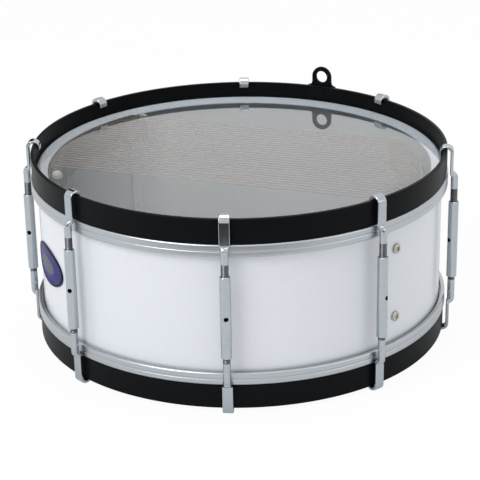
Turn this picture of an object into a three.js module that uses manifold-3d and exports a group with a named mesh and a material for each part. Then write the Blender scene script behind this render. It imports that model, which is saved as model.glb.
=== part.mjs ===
// Shallow snare drum with two clear heads, black counter hoops, eight hook rods with
// tube nuts, a strap ear and an inner snare of one cord laced under the top head.
// Millimetres, +Z up. The origin is on the drum's axis, in the plane of the floor it stands on.
// The drum stands on the bends of its lower hooks. Azimuths are in degrees from -Y towards +X.

import * as THREE from 'three';
import { mergeVertices } from 'three/addons/utils/BufferGeometryUtils.js';
import Module from 'manifold-3d';

const wasm = await Module();
wasm.setup();

// Shell
const shellDiameter = 355.6;
const shellWall = 1.5;
const hoopSpan = 165.6;
const headRecess = 13;
const edgeTurnIn = 9.8;
const edgeDrop = 4.2;
const edgeRound = 3.2;
const edgeBulgeShare = 0.28;

// Clearances
const touchGap = 0.3;
const cutOverrun = 2;

// Heads
const filmThickness = 0.3;
const filmRoom = 1;
const hemReach = 1.8;

// Counter hoops
const hoopHeight = 21;
const hoopThickness = 3.2;
const hoopEdgeRound = 0.7;

// Flesh hoops
const ringHeight = 10.8;
const ringProud = 1.1;
const ringInset = 0.6;
const ringEdge = 1.2;
const ringGrooveDepth = 0.6;
const ringGrooveHeight = 1.2;
const hemHeightShare = 0.3;

// Hook rods
const stripThickness = 2.7;
const stripWidth = 8.9;
const stripBevel = 0.6;
const lipGap = 0.9;
const legGap = 1.6;
const lipLength = 2.4;
const flatEnd = 21.5;
const taperLength = 4.5;
const shankDiameter = 6.4;
const shankJoggle = 0.7;
const shankReach = 24;

// Tube nuts
const nutLength = 71.4;
const nutDiameter = 9.2;
const nutChamfer = 0.8;
const nutBore = 7;
const nutHole = 4;

// Where each rod stands and where the cross hole of its nut looks, both as azimuths, and how far
// its nut has been screwed up past the middle
const rods = [
  { name: 'front', at: 0.5, hole: 9, rise: 1.7 },
  { name: 'front_right', at: 41.8, hole: 58, rise: 0 },
  { name: 'right', at: 85.5, hole: -51, rise: 0 },
  { name: 'rear_right', at: 136, hole: 20, rise: 0 },
  { name: 'rear', at: 182.5, hole: 65, rise: 0 },
  { name: 'rear_left', at: 230.9, hole: -40, rise: 0 },
  { name: 'left', at: 272.5, hole: -13, rise: 0.3 },
  { name: 'front_left', at: 316.2, hole: -12, rise: 1.3 },
];

// Strap ear
const earAzimuth = 158.2;
const earWidth = 19.5;
const earThickness = 2.6;
const earHole = 11.2;
const earHoleHeight = 8.8;
const earFootWidth = 28;
const earFootDepth = 16;
const earFillet = 4.6;

// Badge
const badgeAzimuth = -64.5;
const badgeWidth = 70;
const badgeHeight = 34;
const badgeThickness = 0.9;
const badgeTipShare = 0.995;
const badgeDrop = 84.9;

// Snare band and its cord
const snareAngle = -14.5;
const strandCount = 27;
const bandWidth = 148;
const bandOffset = 11;
const cordDiameter = 1.4;
const cordLeg = 12;

// Snare rails
const rightRail = { wallGap: 19.3, width: 14 };
const leftRail = { wallGap: 11.3, width: 10 };
const railHeight = 25;
const railEnd = 5;
const stripGap = 0.3;
const clampThickness = 1.2;
const clampHeight = 7;
const clampDrop = 3;

// Rail brackets, their screws and the posts at the ends of the left rail
const bracketThickness = 3;
const bracketWidth = 13;
const bracketMargin = 10.6;
const bracketInset = 3.66;
const bracketFillet = 4;
const screwDiameter = 4;
const screwHeadDiameter = 8.4;
const screwHeadHeight = 2.4;
const screwDomeShares = { side: 0.45, edge: 0.72, top: 0.9 };
const screwLength = 6.5;
const upperScrewDrop = 51;
const lowerScrewRise = 53.6;
const postDiameter = 9.2;
const postCapHeight = 6;
const capDomeShares = { side: 0.45, edge: 0.7, top: 0.85 };

// Roundness: sides of the round pieces and steps along the curved ones
const ringSides = 56;
const nutSides = 14;
const holeSides = 10;
const bendSteps = 5;
const shankSides = 8;
const cordSides = 5;
const cordBendSteps = 3;
const uTurnSteps = 4;
const railSteps = 10;
const railTopSteps = 6;
const badgeSteps = 16;
const earSteps = 10;
const filletSteps = 4;

// Levels and radii that follow from the sizes
const shellRadius = shellDiameter / 2;
const shellInner = shellRadius - shellWall;
const hoopInner = shellRadius + filmRoom;
const hoopOuter = hoopInner + hoopThickness;
const ringInner = hoopInner + ringInset;
const ringOuter = hoopOuter + ringProud;
const legInner = ringOuter + legGap;
const bendInner = (legInner - hoopInner + lipGap) / 2;
const bendOuter = bendInner + stripThickness;
const bendCentre = hoopInner - lipGap + bendInner;
const rodRadius = legInner + shankDiameter / 2 + shankJoggle;
const bendFlat = Math.cos(Math.PI / (2 * bendSteps));
const hoopReach = Math.max(bendCentre - hoopInner, hoopOuter - bendCentre);
const bendDrop = Math.sqrt((bendInner * bendFlat) ** 2 - hoopReach ** 2) - touchGap;
const floorGap = bendOuter * bendFlat - bendDrop;
const hoopTop = floorGap + hoopSpan;
const midHeight = floorGap + hoopSpan / 2;
const headTop = hoopTop - headRecess;
const crownTop = headTop - filmThickness - touchGap;
const screwHeights = [hoopTop - upperScrewDrop, floorGap + lowerScrewRise];

const colours = {
  shell: { color: 0xe0e4ee, roughness: 0.25, metalness: 0 },
  hoop: { color: 0x191c1e, roughness: 0.3, metalness: 0 },
  aluminium: { color: 0xb4b8bc, roughness: 0.35, metalness: 1 },
  film: { color: 0xd8dde0, roughness: 0.05, metalness: 0, transparent: true, opacity: 0.3 },
  chrome: { color: 0xc4c8ce, roughness: 0.18, metalness: 1 },
  badge: { color: 0x3a2f8f, roughness: 0.3, metalness: 0.2 },
  cord: { color: 0xa8a098, roughness: 0.6, metalness: 0 },
  wood: { color: 0xa89a84, roughness: 0.6, metalness: 0 },
  steel: { color: 0x9a9ea2, roughness: 0.35, metalness: 1 },
  rubber: { color: 0x3c3b40, roughness: 0.7, metalness: 0 },
  cream: { color: 0xd8d2c2, roughness: 0.5, metalness: 0 },
};

const drum = new THREE.Group();

// Adds a named piece to the drum, or to a group turned about the drum's axis.
function addPiece(name, geometry, look, parent = drum) {
  const mesh = new THREE.Mesh(geometry, new THREE.MeshStandardMaterial(look));
  mesh.name = name;
  parent.add(mesh);
  return mesh;
}

// A group turned so that its -Y side looks along an azimuth.
function turnedGroup(azimuth) {
  const group = new THREE.Group();
  group.rotation.z = THREE.MathUtils.degToRad(azimuth);
  drum.add(group);
  return group;
}

// Six times the signed volume of a closed triangle mesh.
function signedVolume(geometry) {
  const p = geometry.attributes.position;
  const index = geometry.index;
  const [a, b, c] = [new THREE.Vector3(), new THREE.Vector3(), new THREE.Vector3()];
  let sum = 0;
  for (let i = 0; i < index.count; i += 3) {
    a.fromBufferAttribute(p, index.getX(i));
    b.fromBufferAttribute(p, index.getX(i + 1));
    c.fromBufferAttribute(p, index.getX(i + 2));
    sum += a.dot(b.cross(c));
  }
  return sum;
}

// A closed geometry with shared vertices and its faces pointing out.
function closed(geometry) {
  const bare = geometry.clone();
  bare.deleteAttribute('normal');
  bare.deleteAttribute('uv');
  const merged = mergeVertices(bare);
  const index = [];
  for (let i = 0; i < merged.index.count; i += 3) {
    const triple = [merged.index.getX(i), merged.index.getX(i + 1), merged.index.getX(i + 2)];
    if (new Set(triple).size === 3) index.push(...triple);
  }
  merged.setIndex(index);
  if (signedVolume(merged) < 0) merged.setIndex(index.reverse());
  return merged;
}

function toManifold(geometry) {
  const merged = closed(geometry);
  return new wasm.Manifold(new wasm.Mesh({
    numProp: 3,
    vertProperties: new Float32Array(merged.attributes.position.array),
    triVerts: new Uint32Array(merged.index.array),
  }));
}

function fromManifold(solid) {
  const mesh = solid.getMesh();
  const geometry = new THREE.BufferGeometry();
  geometry.setAttribute('position', new THREE.BufferAttribute(new Float32Array(mesh.vertProperties), 3));
  geometry.setIndex(new THREE.BufferAttribute(new Uint32Array(mesh.triVerts), 1));
  return geometry;
}

// A geometry with the tool geometries cut out of it.
function cut(geometry, tools) {
  let solid = toManifold(geometry);
  for (const tool of tools) solid = solid.subtract(toManifold(tool));
  return fromManifold(solid);
}

// A closed profile of [radius, height] points turned about the vertical axis.
function turned(profile, sides) {
  const points = profile.map(([r, z]) => new THREE.Vector2(r, z));
  const ends = [points[0], points[points.length - 1]];
  if (ends.some((point) => point.x > 0)) points.push(points[0].clone());
  const geometry = new THREE.LatheGeometry(points, sides);
  geometry.rotateX(Math.PI / 2);
  return closed(geometry);
}

// A skin over rings of points, all with the same count, closed by a fan at either end.
function loft(rings) {
  const count = rings[0].length;
  const positions = rings.flat().flatMap((point) => [point.x, point.y, point.z]);
  const index = [];
  for (let i = 0; i + 1 < rings.length; i += 1) {
    for (let j = 0; j < count; j += 1) {
      const a = i * count + j;
      const b = i * count + (j + 1) % count;
      index.push(a, b, b + count, a, b + count, a + count);
    }
  }
  const last = (rings.length - 1) * count;
  for (let j = 1; j + 1 < count; j += 1) {
    index.push(0, j + 1, j);
    index.push(last, last + j, last + j + 1);
  }
  const geometry = new THREE.BufferGeometry();
  geometry.setAttribute('position', new THREE.Float32BufferAttribute(positions, 3));
  geometry.setIndex(index);
  return closed(geometry);
}

// A [radius, height] outline with convex corners, carried along an arc about the vertical axis.
function arcBar(outline, startAngle, endAngle, steps) {
  const rings = [];
  for (let i = 0; i <= steps; i += 1) {
    const angle = startAngle + (endAngle - startAngle) * (i / steps);
    rings.push(outline.map(([r, z]) => new THREE.Vector3(r * Math.cos(angle), r * Math.sin(angle), z)));
  }
  return loft(rings);
}

// A radial rod, used as a cutting tool or a screw's shank, in a group whose -Y side looks outwards.
function radialRod(diameter, from, to, x, z, sides = holeSides) {
  const rod = new THREE.CylinderGeometry(diameter / 2, diameter / 2, to - from, sides);
  rod.translate(x, -(from + to) / 2, z);
  return rod;
}

// Half of the shell's wall, from the mid height up: the outside, the turned-in edge and back inside.
function shellHalf() {
  const lip = shellRadius - edgeTurnIn;
  const slope = edgeDrop / (edgeTurnIn - edgeRound);
  const wallAcross = shellWall * Math.hypot(1, slope);
  return [
    [shellRadius, crownTop - edgeRound],
    [shellRadius - edgeRound * edgeBulgeShare, crownTop - edgeRound * edgeBulgeShare],
    [shellRadius - edgeRound, crownTop],
    [lip, crownTop - edgeDrop],
    [lip, crownTop - edgeDrop - wallAcross],
    [shellRadius - edgeRound, crownTop - wallAcross],
    [shellInner, crownTop - edgeRound - shellWall * slope],
  ];
}

// A profile's points mirrored about the drum's mid height, in reverse order.
function mirrored(profile) {
  return profile.map(([r, z]) => [r, 2 * midHeight - z]).reverse();
}

function buildShell() {
  const upper = shellHalf();
  const wall = turned([...upper, ...mirrored(upper)], ringSides);
  const holes = [];
  for (const azimuth of rightBracketAzimuths()) {
    for (const height of screwHeights) {
      const clear = screwDiameter + 2 * touchGap;
      const hole = radialRod(clear, shellInner - cutOverrun, shellRadius + cutOverrun, 0, height);
      hole.rotateZ(THREE.MathUtils.degToRad(azimuth));
      holes.push(hole);
    }
  }
  addPiece('shell', cut(wall, holes), colours.shell);
}

function counterHoopProfile() {
  const bottom = hoopTop - hoopHeight;
  return [
    [hoopInner, bottom],
    [hoopOuter - hoopEdgeRound, bottom],
    [hoopOuter, bottom + hoopEdgeRound],
    [hoopOuter, hoopTop - hoopEdgeRound],
    [hoopOuter - hoopEdgeRound, hoopTop],
    [hoopInner, hoopTop],
  ];
}

// Height of the film's hem inside its flesh hoop, for the top head.
function hemHeight() {
  return hoopTop - hoopHeight - touchGap - ringHeight * (1 - hemHeightShare);
}

// The flesh hoop's section: rounded outside with a shallow groove, slotted inside for the hem.
function fleshHoopProfile() {
  const top = hoopTop - hoopHeight - touchGap;
  const bottom = top - ringHeight;
  const middle = (top + bottom) / 2;
  const slotDepth = hoopInner + hemReach + touchGap;
  const slotTop = hemHeight() + filmThickness + touchGap;
  const slotBottom = hemHeight() - touchGap;
  return [
    [ringInner, bottom],
    [ringOuter - ringEdge, bottom],
    [ringOuter, bottom + ringEdge],
    [ringOuter, middle - ringGrooveHeight / 2],
    [ringOuter - ringGrooveDepth, middle],
    [ringOuter, middle + ringGrooveHeight / 2],
    [ringOuter, top - ringEdge],
    [ringOuter - ringEdge, top],
    [ringInner, top],
    [ringInner, slotTop],
    [slotDepth, slotTop],
    [slotDepth, slotBottom],
    [ringInner, slotBottom],
  ];
}

// The clear film: flat over the bearing edge, down outside the shell, its hem in the flesh hoop.
function filmProfile() {
  const under = crownTop + touchGap;
  const inner = shellRadius + touchGap;
  const outer = inner + filmThickness;
  const roundStart = shellRadius - edgeRound;
  const hemTip = hoopInner + hemReach;
  const bend = edgeRound * edgeBulgeShare;
  return [
    [0, headTop],
    [roundStart + touchGap, headTop],
    [outer - bend, headTop - bend],
    [outer, under - edgeRound],
    [outer, hemHeight() + filmThickness],
    [hemTip, hemHeight() + filmThickness],
    [hemTip, hemHeight()],
    [inner, hemHeight()],
    [inner, under - edgeRound],
    [inner - bend, under - bend],
    [roundStart, under],
    [0, under],
  ];
}

function buildHeadsAndHoops() {
  const pairs = [
    ['counter_hoop', counterHoopProfile(), colours.hoop],
    ['flesh_hoop', fleshHoopProfile(), colours.aluminium],
    ['head_film', filmProfile(), colours.film],
  ];
  for (const [name, profile, look] of pairs) {
    addPiece(`top_${name}`, turned(profile, ringSides), look);
    addPiece(`bottom_${name}`, turned(mirrored(profile), ringSides), look);
  }
}

// One section of a hook rod: eight points about a centre, a strip with bevelled edges at 0, a bar at 1.
function rodSection(centre, across, roundness) {
  const [wideHalf, thickHalf] = [stripWidth / 2, stripThickness / 2];
  const corner = [[wideHalf, thickHalf - stripBevel], [wideHalf - stripBevel, thickHalf]];
  const left = corner.map(([x, n]) => [-x, n]).reverse();
  const upper = [...corner, ...left];
  const outline = [...upper, ...upper.map(([x, n]) => [x, -n]).reverse()];
  const radius = shankDiameter / 2;
  return outline.map(([flatX, flatN], i) => {
    const angle = (i + 0.5) * (2 * Math.PI / shankSides);
    const roundX = radius * Math.cos(angle);
    const roundN = radius * Math.sin(angle);
    const wide = flatX + (roundX - flatX) * roundness;
    const thick = flatN + (roundN - flatN) * roundness;
    return centre.clone().add(new THREE.Vector3(wide, 0, 0)).addScaledVector(across, thick);
  });
}

// An upper hook rod in a group whose -Y side looks outwards: lip, bend over the hoop, leg and shank.
// Its sections are lofted from the threaded end up to the lip.
function hookRod() {
  const middle = (bendInner + bendOuter) / 2;
  const centreZ = hoopTop - bendDrop;
  const outwards = (r, z) => new THREE.Vector3(0, -r, z);
  const legCentre = legInner + stripThickness / 2;
  const shankEnd = midHeight + nutLength / 2 - shankReach;
  const inward = new THREE.Vector3(0, 1, 0);
  const rings = [rodSection(outwards(bendCentre - middle, centreZ - lipLength), inward.clone().negate(), 0)];
  for (let i = 0; i <= bendSteps; i += 1) {
    const angle = Math.PI - Math.PI * (i / bendSteps);
    const across = new THREE.Vector3(0, -Math.cos(angle), Math.sin(angle)).negate();
    const centre = outwards(bendCentre + middle * Math.cos(angle), centreZ + middle * Math.sin(angle));
    rings.push(rodSection(centre, across.negate(), 0));
  }
  const outward = inward.clone().negate();
  rings.push(rodSection(outwards(legCentre, hoopTop - flatEnd), outward, 0));
  rings.push(rodSection(outwards(rodRadius, hoopTop - flatEnd - taperLength), outward, 1));
  rings.push(rodSection(outwards(rodRadius, shankEnd), outward, 1));
  rings.reverse();
  return loft(rings);
}

// The same rod turned over for the lower hoop.
function lowerHookRod() {
  const rod = hookRod();
  rod.translate(0, 0, -midHeight);
  rod.scale(1, 1, -1);
  rod.translate(0, 0, midHeight);
  return closed(rod);
}

// A tube nut turned so that its cross hole looks along an azimuth.
function tubeNut(holeAzimuth) {
  const outer = nutDiameter / 2;
  const bore = nutBore / 2;
  const half = nutLength / 2;
  const tube = turned([
    [bore, -half],
    [outer - nutChamfer, -half],
    [outer, nutChamfer - half],
    [outer, half - nutChamfer],
    [outer - nutChamfer, half],
    [bore, half],
  ], nutSides);
  const hole = radialRod(nutHole, -nutDiameter, nutDiameter, 0, 0, shankSides);
  hole.rotateZ(Math.PI / nutSides);
  const drilled = cut(tube, [hole]);
  drilled.rotateZ(THREE.MathUtils.degToRad(holeAzimuth));
  drilled.translate(0, 0, midHeight);
  return drilled;
}

function buildRods() {
  for (const { name, at, hole, rise } of rods) {
    const group = turnedGroup(at);
    addPiece(`${name}_upper_hook`, hookRod(), colours.chrome, group);
    addPiece(`${name}_lower_hook`, lowerHookRod(), colours.chrome, group);
    const nut = tubeNut(hole - at);
    nut.translate(0, -rodRadius, rise);
    addPiece(`${name}_tube_nut`, nut, colours.chrome, group);
  }
}

// The ear: a flat plate on the outside of the top hoop, with a flared foot, round top and hole.
function buildEar() {
  const half = earWidth / 2;
  const foot = earFootWidth / 2;
  const outline = new THREE.Shape();
  outline.moveTo(-foot, -earFootDepth);
  outline.lineTo(foot, -earFootDepth);
  outline.lineTo(foot, 0);
  outline.quadraticCurveTo(half, 0, half, earFillet);
  outline.lineTo(half, earHoleHeight);
  outline.absarc(0, earHoleHeight, half, 0, Math.PI, false);
  outline.lineTo(-half, earFillet);
  outline.quadraticCurveTo(-half, 0, -foot, 0);
  const hole = new THREE.Path();
  hole.absarc(0, earHoleHeight, earHole / 2, 0, 2 * Math.PI, true);
  outline.holes.push(hole);
  const plate = new THREE.ExtrudeGeometry(outline, { depth: earThickness, bevelEnabled: false, curveSegments: earSteps });
  plate.rotateX(Math.PI / 2);
  plate.translate(0, -(hoopOuter + touchGap), hoopTop);
  addPiece('strap_ear', closed(plate), colours.hoop, turnedGroup(earAzimuth));
}

// The badge: a thin oval that follows the shell, built as upright slices across its width.
function buildBadge() {
  const inner = shellRadius + touchGap;
  const outer = inner + badgeThickness;
  const rings = [];
  for (let i = 0; i <= badgeSteps; i += 1) {
    const across = Math.cos(Math.PI * (1 - i / badgeSteps)) * badgeTipShare;
    const angle = (across * badgeWidth / 2) / shellRadius;
    const tall = (badgeHeight / 2) * Math.sqrt(1 - across ** 2);
    rings.push([[outer, tall], [inner, tall], [inner, -tall], [outer, -tall]].map(
      ([r, z]) => new THREE.Vector3(r * Math.sin(angle), -r * Math.cos(angle), hoopTop - badgeDrop + z),
    ));
  }
  addPiece('badge', loft(rings), colours.badge, turnedGroup(badgeAzimuth));
}

// Snare levels: the cord runs just under the film, and the rails stand just under the cord.
const cordRadius = cordDiameter / 2;
const cordLevel = crownTop - cordRadius;
const railTop = cordLevel - cordRadius - touchGap;
const railBottom = railTop - railHeight;
const bandStart = bandOffset - bandWidth / 2;
const bandEnd = bandOffset + bandWidth / 2;

const snareGroup = new THREE.Group();
snareGroup.rotation.z = THREE.MathUtils.degToRad(snareAngle);
drum.add(snareGroup);

// Radius of a rail's middle line, set in from the shell's wall.
function railRadius(rail) {
  return shellInner - rail.wallGap - rail.width / 2;
}

// Azimuths of the brackets on the right, just inside the rail's two ends.
function rightBracketAzimuths() {
  const places = [bandStart - railEnd + bracketInset, bandEnd + railEnd - bracketInset];
  return places.map((across) => {
    const turn = THREE.MathUtils.radToDeg(Math.asin(across / railRadius(rightRail)));
    return 90 + snareAngle + turn;
  });
}

// Radius at which the cord's legs hang outside a rail.
function legRadius(rail) {
  return railRadius(rail) + rail.width / 2 + stripGap + cordRadius;
}

// Points of one strand's end: over the rail's round top and down its outer side.
function strandEnd(rail, side, across) {
  const bend = rail.width / 2 + stripGap + cordRadius;
  const points = [];
  for (let i = 0; i <= cordBendSteps; i += 1) {
    const angle = (Math.PI / 2) * (i / cordBendSteps);
    const r = railRadius(rail) + bend * Math.sin(angle);
    const along = Math.sqrt(r ** 2 - across ** 2);
    points.push(new THREE.Vector3(side * along, across, cordLevel - bend * (1 - Math.cos(angle))));
  }
  return points;
}

// The U-turn below a rail, from one strand's leg to the next one's.
function uTurn(rail, side, from, to) {
  const radius = (to - from) / 2;
  const bend = rail.width / 2 + stripGap + cordRadius;
  const level = cordLevel - bend - cordLeg;
  const points = [];
  for (let i = 0; i <= uTurnSteps; i += 1) {
    const angle = Math.PI * (i / uTurnSteps);
    const across = (from + to) / 2 - radius * Math.cos(angle);
    const along = Math.sqrt(legRadius(rail) ** 2 - across ** 2);
    points.push(new THREE.Vector3(side * along, across, level - radius * Math.sin(angle)));
  }
  return points;
}

// The whole route of the cord: strands to and fro over both rails, joined by U-turns.
function cordRoute() {
  const pitch = (bandEnd - bandStart) / (strandCount - 1);
  const route = [];
  for (let i = 0; i < strandCount; i += 1) {
    const across = bandStart + i * pitch;
    const left = strandEnd(leftRail, -1, across).reverse();
    const right = strandEnd(rightRail, 1, across);
    const forth = i % 2 === 0;
    const strand = forth ? [...left, ...right] : [...left, ...right].reverse();
    if (i === 0) {
      const leg = strand[0].clone();
      leg.z -= cordLeg;
      route.push(leg);
    }
    route.push(...strand);
    if (i + 1 < strandCount) {
      route.push(...uTurn(forth ? rightRail : leftRail, forth ? 1 : -1, across, across + pitch));
    } else {
      const leg = route[route.length - 1].clone();
      leg.z -= cordLeg;
      route.push(leg);
    }
  }
  return route;
}

// A tube of one radius along a route, its rings turned as little as the route allows.
function tubeAlong(route, radius, sides) {
  const tangents = route.map((point, i) => {
    const before = route[Math.max(i - 1, 0)];
    const after = route[Math.min(i + 1, route.length - 1)];
    const into = point.clone().sub(before).normalize();
    const out = after.clone().sub(point).normalize();
    return into.add(out).normalize();
  });
  let side = new THREE.Vector3(0, 1, 0).projectOnPlane(tangents[0]).normalize();
  const rings = route.map((point, i) => {
    side = side.clone().projectOnPlane(tangents[i]).normalize();
    const up = tangents[i].clone().cross(side);
    const ring = [];
    for (let j = 0; j < sides; j += 1) {
      const angle = 2 * Math.PI * (j / sides);
      ring.push(point.clone()
        .addScaledVector(side, radius * Math.cos(angle))
        .addScaledVector(up, radius * Math.sin(angle)));
    }
    return ring;
  });
  return loft(rings);
}

// The least gap between stretches of the cord that aren't next to each other.
function leastGap(route, diameter) {
  const samples = [];
  for (let i = 0; i + 1 < route.length; i += 1) {
    const parts = Math.max(1, Math.ceil(route[i].distanceTo(route[i + 1]) / diameter));
    for (let j = 0; j < parts; j += 1) samples.push({ at: route[i].clone().lerp(route[i + 1], j / parts), i });
  }
  let least = Infinity;
  for (let a = 0; a < samples.length; a += 1) {
    for (let b = a + 1; b < samples.length; b += 1) {
      if (samples[b].i - samples[a].i > uTurnSteps) least = Math.min(least, samples[a].at.distanceTo(samples[b].at));
    }
  }
  return least - diameter;
}

// A rail that follows the shell under the cord, with a round top.
function buildRail(name, rail, side) {
  const half = rail.width / 2;
  const middle = railRadius(rail);
  const outline = [[middle - half, railBottom], [middle + half, railBottom]];
  for (let i = 0; i <= railTopSteps; i += 1) {
    const angle = Math.PI * (i / railTopSteps);
    outline.push([middle + half * Math.cos(angle), railTop - half + half * Math.sin(angle)]);
  }
  const start = Math.asin((bandStart - railEnd) / middle);
  const end = Math.asin((bandEnd + railEnd) / middle);
  const turn = side > 0 ? 0 : Math.PI;
  const bar = arcBar(outline, turn + side * start, turn + side * end, railSteps);
  addPiece(name, bar, colours.wood, snareGroup);
}

// A thin strip outside the cord's legs, which holds them to the rail.
function buildClampStrip(name, rail, side) {
  const inner = legRadius(rail) + cordRadius + stripGap;
  const outer = inner + clampThickness;
  const bend = rail.width / 2 + stripGap + cordRadius;
  const top = cordLevel - bend - clampDrop;
  const bottom = top - clampHeight;
  const outline = [[inner, bottom], [outer, bottom], [outer, top], [inner, top]];
  const start = Math.asin((bandStart - railEnd) / inner);
  const end = Math.asin((bandEnd + railEnd) / inner);
  const turn = side > 0 ? 0 : Math.PI;
  const strip = arcBar(outline, turn + side * start, turn + side * end, railSteps);
  addPiece(name, strip, colours.steel, snareGroup);
}

// An angle bracket in a group whose -Y side looks outwards: an arm under the rail, a plate on the wall.
function bracket(rail, holeHeights) {
  const wall = Math.sqrt((shellInner * Math.cos(Math.PI / ringSides) - touchGap) ** 2 - (bracketWidth / 2) ** 2);
  const armTop = railBottom - touchGap;
  const foot = screwHeights[screwHeights.length - 1] - bracketMargin;
  const tip = railRadius(rail) - rail.width / 2;
  const outline = new THREE.Shape();
  outline.moveTo(tip, armTop);
  outline.lineTo(tip, armTop - bracketThickness);
  outline.lineTo(wall - bracketThickness - bracketFillet, armTop - bracketThickness);
  outline.quadraticCurveTo(
    wall - bracketThickness,
    armTop - bracketThickness,
    wall - bracketThickness,
    armTop - bracketThickness - bracketFillet,
  );
  outline.lineTo(wall - bracketThickness, foot);
  outline.lineTo(wall, foot);
  outline.lineTo(wall, armTop);
  const plate = new THREE.ExtrudeGeometry(outline, { depth: bracketWidth, bevelEnabled: false, curveSegments: filletSteps });
  plate.translate(0, 0, -bracketWidth / 2);
  plate.rotateX(Math.PI / 2);
  plate.rotateZ(-Math.PI / 2);
  const tools = holeHeights.map((height) => radialRod(
    screwDiameter + 2 * touchGap,
    wall - bracketThickness - cutOverrun,
    wall + cutOverrun,
    0,
    height,
  ));
  return cut(plate, tools);
}

// A pan-head screw from outside the shell into a bracket.
function bracketScrew(height) {
  const seat = shellRadius + touchGap;
  const head = screwHeadDiameter / 2;
  const shank = screwDiameter / 2;
  const screw = turned([
    [0, seat - screwLength],
    [shank, seat - screwLength],
    [shank, seat],
    [head, seat],
    [head, seat + screwHeadHeight * screwDomeShares.side],
    [head * screwDomeShares.edge, seat + screwHeadHeight * screwDomeShares.top],
    [0, seat + screwHeadHeight],
  ], holeSides);
  screw.rotateX(Math.PI / 2);
  screw.translate(0, 0, height);
  return screw;
}

function buildRightBrackets() {
  const [front, rear] = rightBracketAzimuths();
  for (const [place, azimuth] of [['front', front], ['rear', rear]]) {
    const group = turnedGroup(azimuth);
    addPiece(`right_bracket_${place}`, bracket(rightRail, screwHeights), colours.steel, group);
    for (const [i, level] of ['upper', 'lower'].entries()) {
      addPiece(`bracket_screw_${place}_${level}`, bracketScrew(screwHeights[i]), colours.chrome, group);
    }
  }
}

// Brackets and end posts of the left rail, just past the first and last strands.
function buildLeftBrackets() {
  const postRadius = postDiameter / 2;
  const past = railEnd + touchGap + postRadius;
  const places = [['front', bandStart - past], ['rear', bandEnd + past]];
  for (const [place, across] of places) {
    const turn = THREE.MathUtils.radToDeg(Math.asin(across / railRadius(leftRail)));
    const group = turnedGroup(snareAngle - 90 - turn);
    addPiece(`left_bracket_${place}`, bracket(leftRail, []), colours.steel, group);
    const bodyTop = railTop - postCapHeight;
    const post = turned([
      [0, railBottom],
      [postRadius, railBottom],
      [postRadius, bodyTop],
      [0, bodyTop],
    ], holeSides);
    const capBase = bodyTop + touchGap;
    const cap = turned([
      [0, capBase],
      [postRadius, capBase],
      [postRadius, capBase + postCapHeight * capDomeShares.side],
      [postRadius * capDomeShares.edge, capBase + postCapHeight * capDomeShares.top],
      [0, capBase + postCapHeight],
    ], holeSides);
    for (const piece of [post, cap]) piece.translate(0, -railRadius(leftRail), 0);
    addPiece(`left_post_${place}`, post, colours.rubber, group);
    addPiece(`left_post_cap_${place}`, cap, colours.cream, group);
  }
}

function buildSnare() {
  const route = cordRoute();
  console.log(`snare cord: least gap to itself ${leastGap(route, cordDiameter).toFixed(2)} mm`);
  addPiece('snare_cord', tubeAlong(route, cordRadius, cordSides), colours.cord, snareGroup);
  buildRail('right_rail', rightRail, 1);
  buildRail('left_rail', leftRail, -1);
  buildClampStrip('right_clamp_strip', rightRail, 1);
  buildClampStrip('left_clamp_strip', leftRail, -1);
  buildRightBrackets();
  buildLeftBrackets();
}

buildShell();
buildHeadsAndHoops();
buildRods();
buildEar();
buildBadge();
buildSnare();

export default drum;
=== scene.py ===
"""A shallow snare drum with two clear heads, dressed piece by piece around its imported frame.

Every size is in millimetres, and the bench turns it into metres. Azimuths are in degrees from -Y
towards +X, as on the drum: the front hook rod stands near 0 and the right one near 90.
"""

import logging
import math
from collections.abc import Callable, Iterable
from dataclasses import dataclass, field, replace
from enum import Enum
from typing import ClassVar

import bmesh
import bpy
from mathutils import Matrix, Vector


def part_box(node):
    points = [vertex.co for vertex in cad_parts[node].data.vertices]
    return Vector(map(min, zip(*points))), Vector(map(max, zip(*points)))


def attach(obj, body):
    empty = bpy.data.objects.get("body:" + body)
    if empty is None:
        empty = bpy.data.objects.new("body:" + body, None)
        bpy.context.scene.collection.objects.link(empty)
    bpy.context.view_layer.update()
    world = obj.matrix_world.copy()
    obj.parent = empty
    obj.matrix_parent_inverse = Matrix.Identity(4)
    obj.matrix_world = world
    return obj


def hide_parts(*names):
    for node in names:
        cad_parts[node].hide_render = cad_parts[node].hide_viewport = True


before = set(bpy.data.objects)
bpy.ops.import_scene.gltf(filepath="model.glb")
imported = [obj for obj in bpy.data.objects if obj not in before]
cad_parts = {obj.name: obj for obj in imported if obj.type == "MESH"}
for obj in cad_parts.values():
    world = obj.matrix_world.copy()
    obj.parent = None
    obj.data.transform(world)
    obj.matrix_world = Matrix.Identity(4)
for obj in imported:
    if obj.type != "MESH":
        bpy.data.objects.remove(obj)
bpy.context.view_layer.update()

MM = 0.001
TAU = 2 * math.pi
LOG = logging.getLogger("drum")

Point = tuple[float, float, float]
Profile = list[tuple[float, float]]


class Slot(Enum):
    """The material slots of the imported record."""

    WHITE_ENAMEL = "white_enamel"
    BLACK_ENAMEL = "black_enamel"
    RING_ALUMINIUM = "ring_aluminium"
    CLEAR_FILM = "clear_film"
    ROD_CHROME = "rod_chrome"
    BADGE_ENAMEL = "badge_enamel"
    SNARE_CORD = "snare_cord"
    RAIL_PLASTIC = "rail_plastic"
    INNER_STEEL = "inner_steel"
    SCREW_NICKEL = "screw_nickel"
    POST_RUBBER = "post_rubber"
    CAP_CREAM = "cap_cream"


def linear(code: str) -> tuple[float, float, float, float]:
    """Turn an sRGB hex colour into linear values.

    Args:
        code: Six hex digits.

    Returns:
        Linear red, green, blue and an alpha of 1.
    """
    channels = [int(code[i:i + 2], 16) / 255 for i in (0, 2, 4)]
    red, green, blue = (c / 12.92 if c <= 0.04045 else ((c + 0.055) / 1.055) ** 2.4 for c in channels)
    return red, green, blue, 1.0


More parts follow.
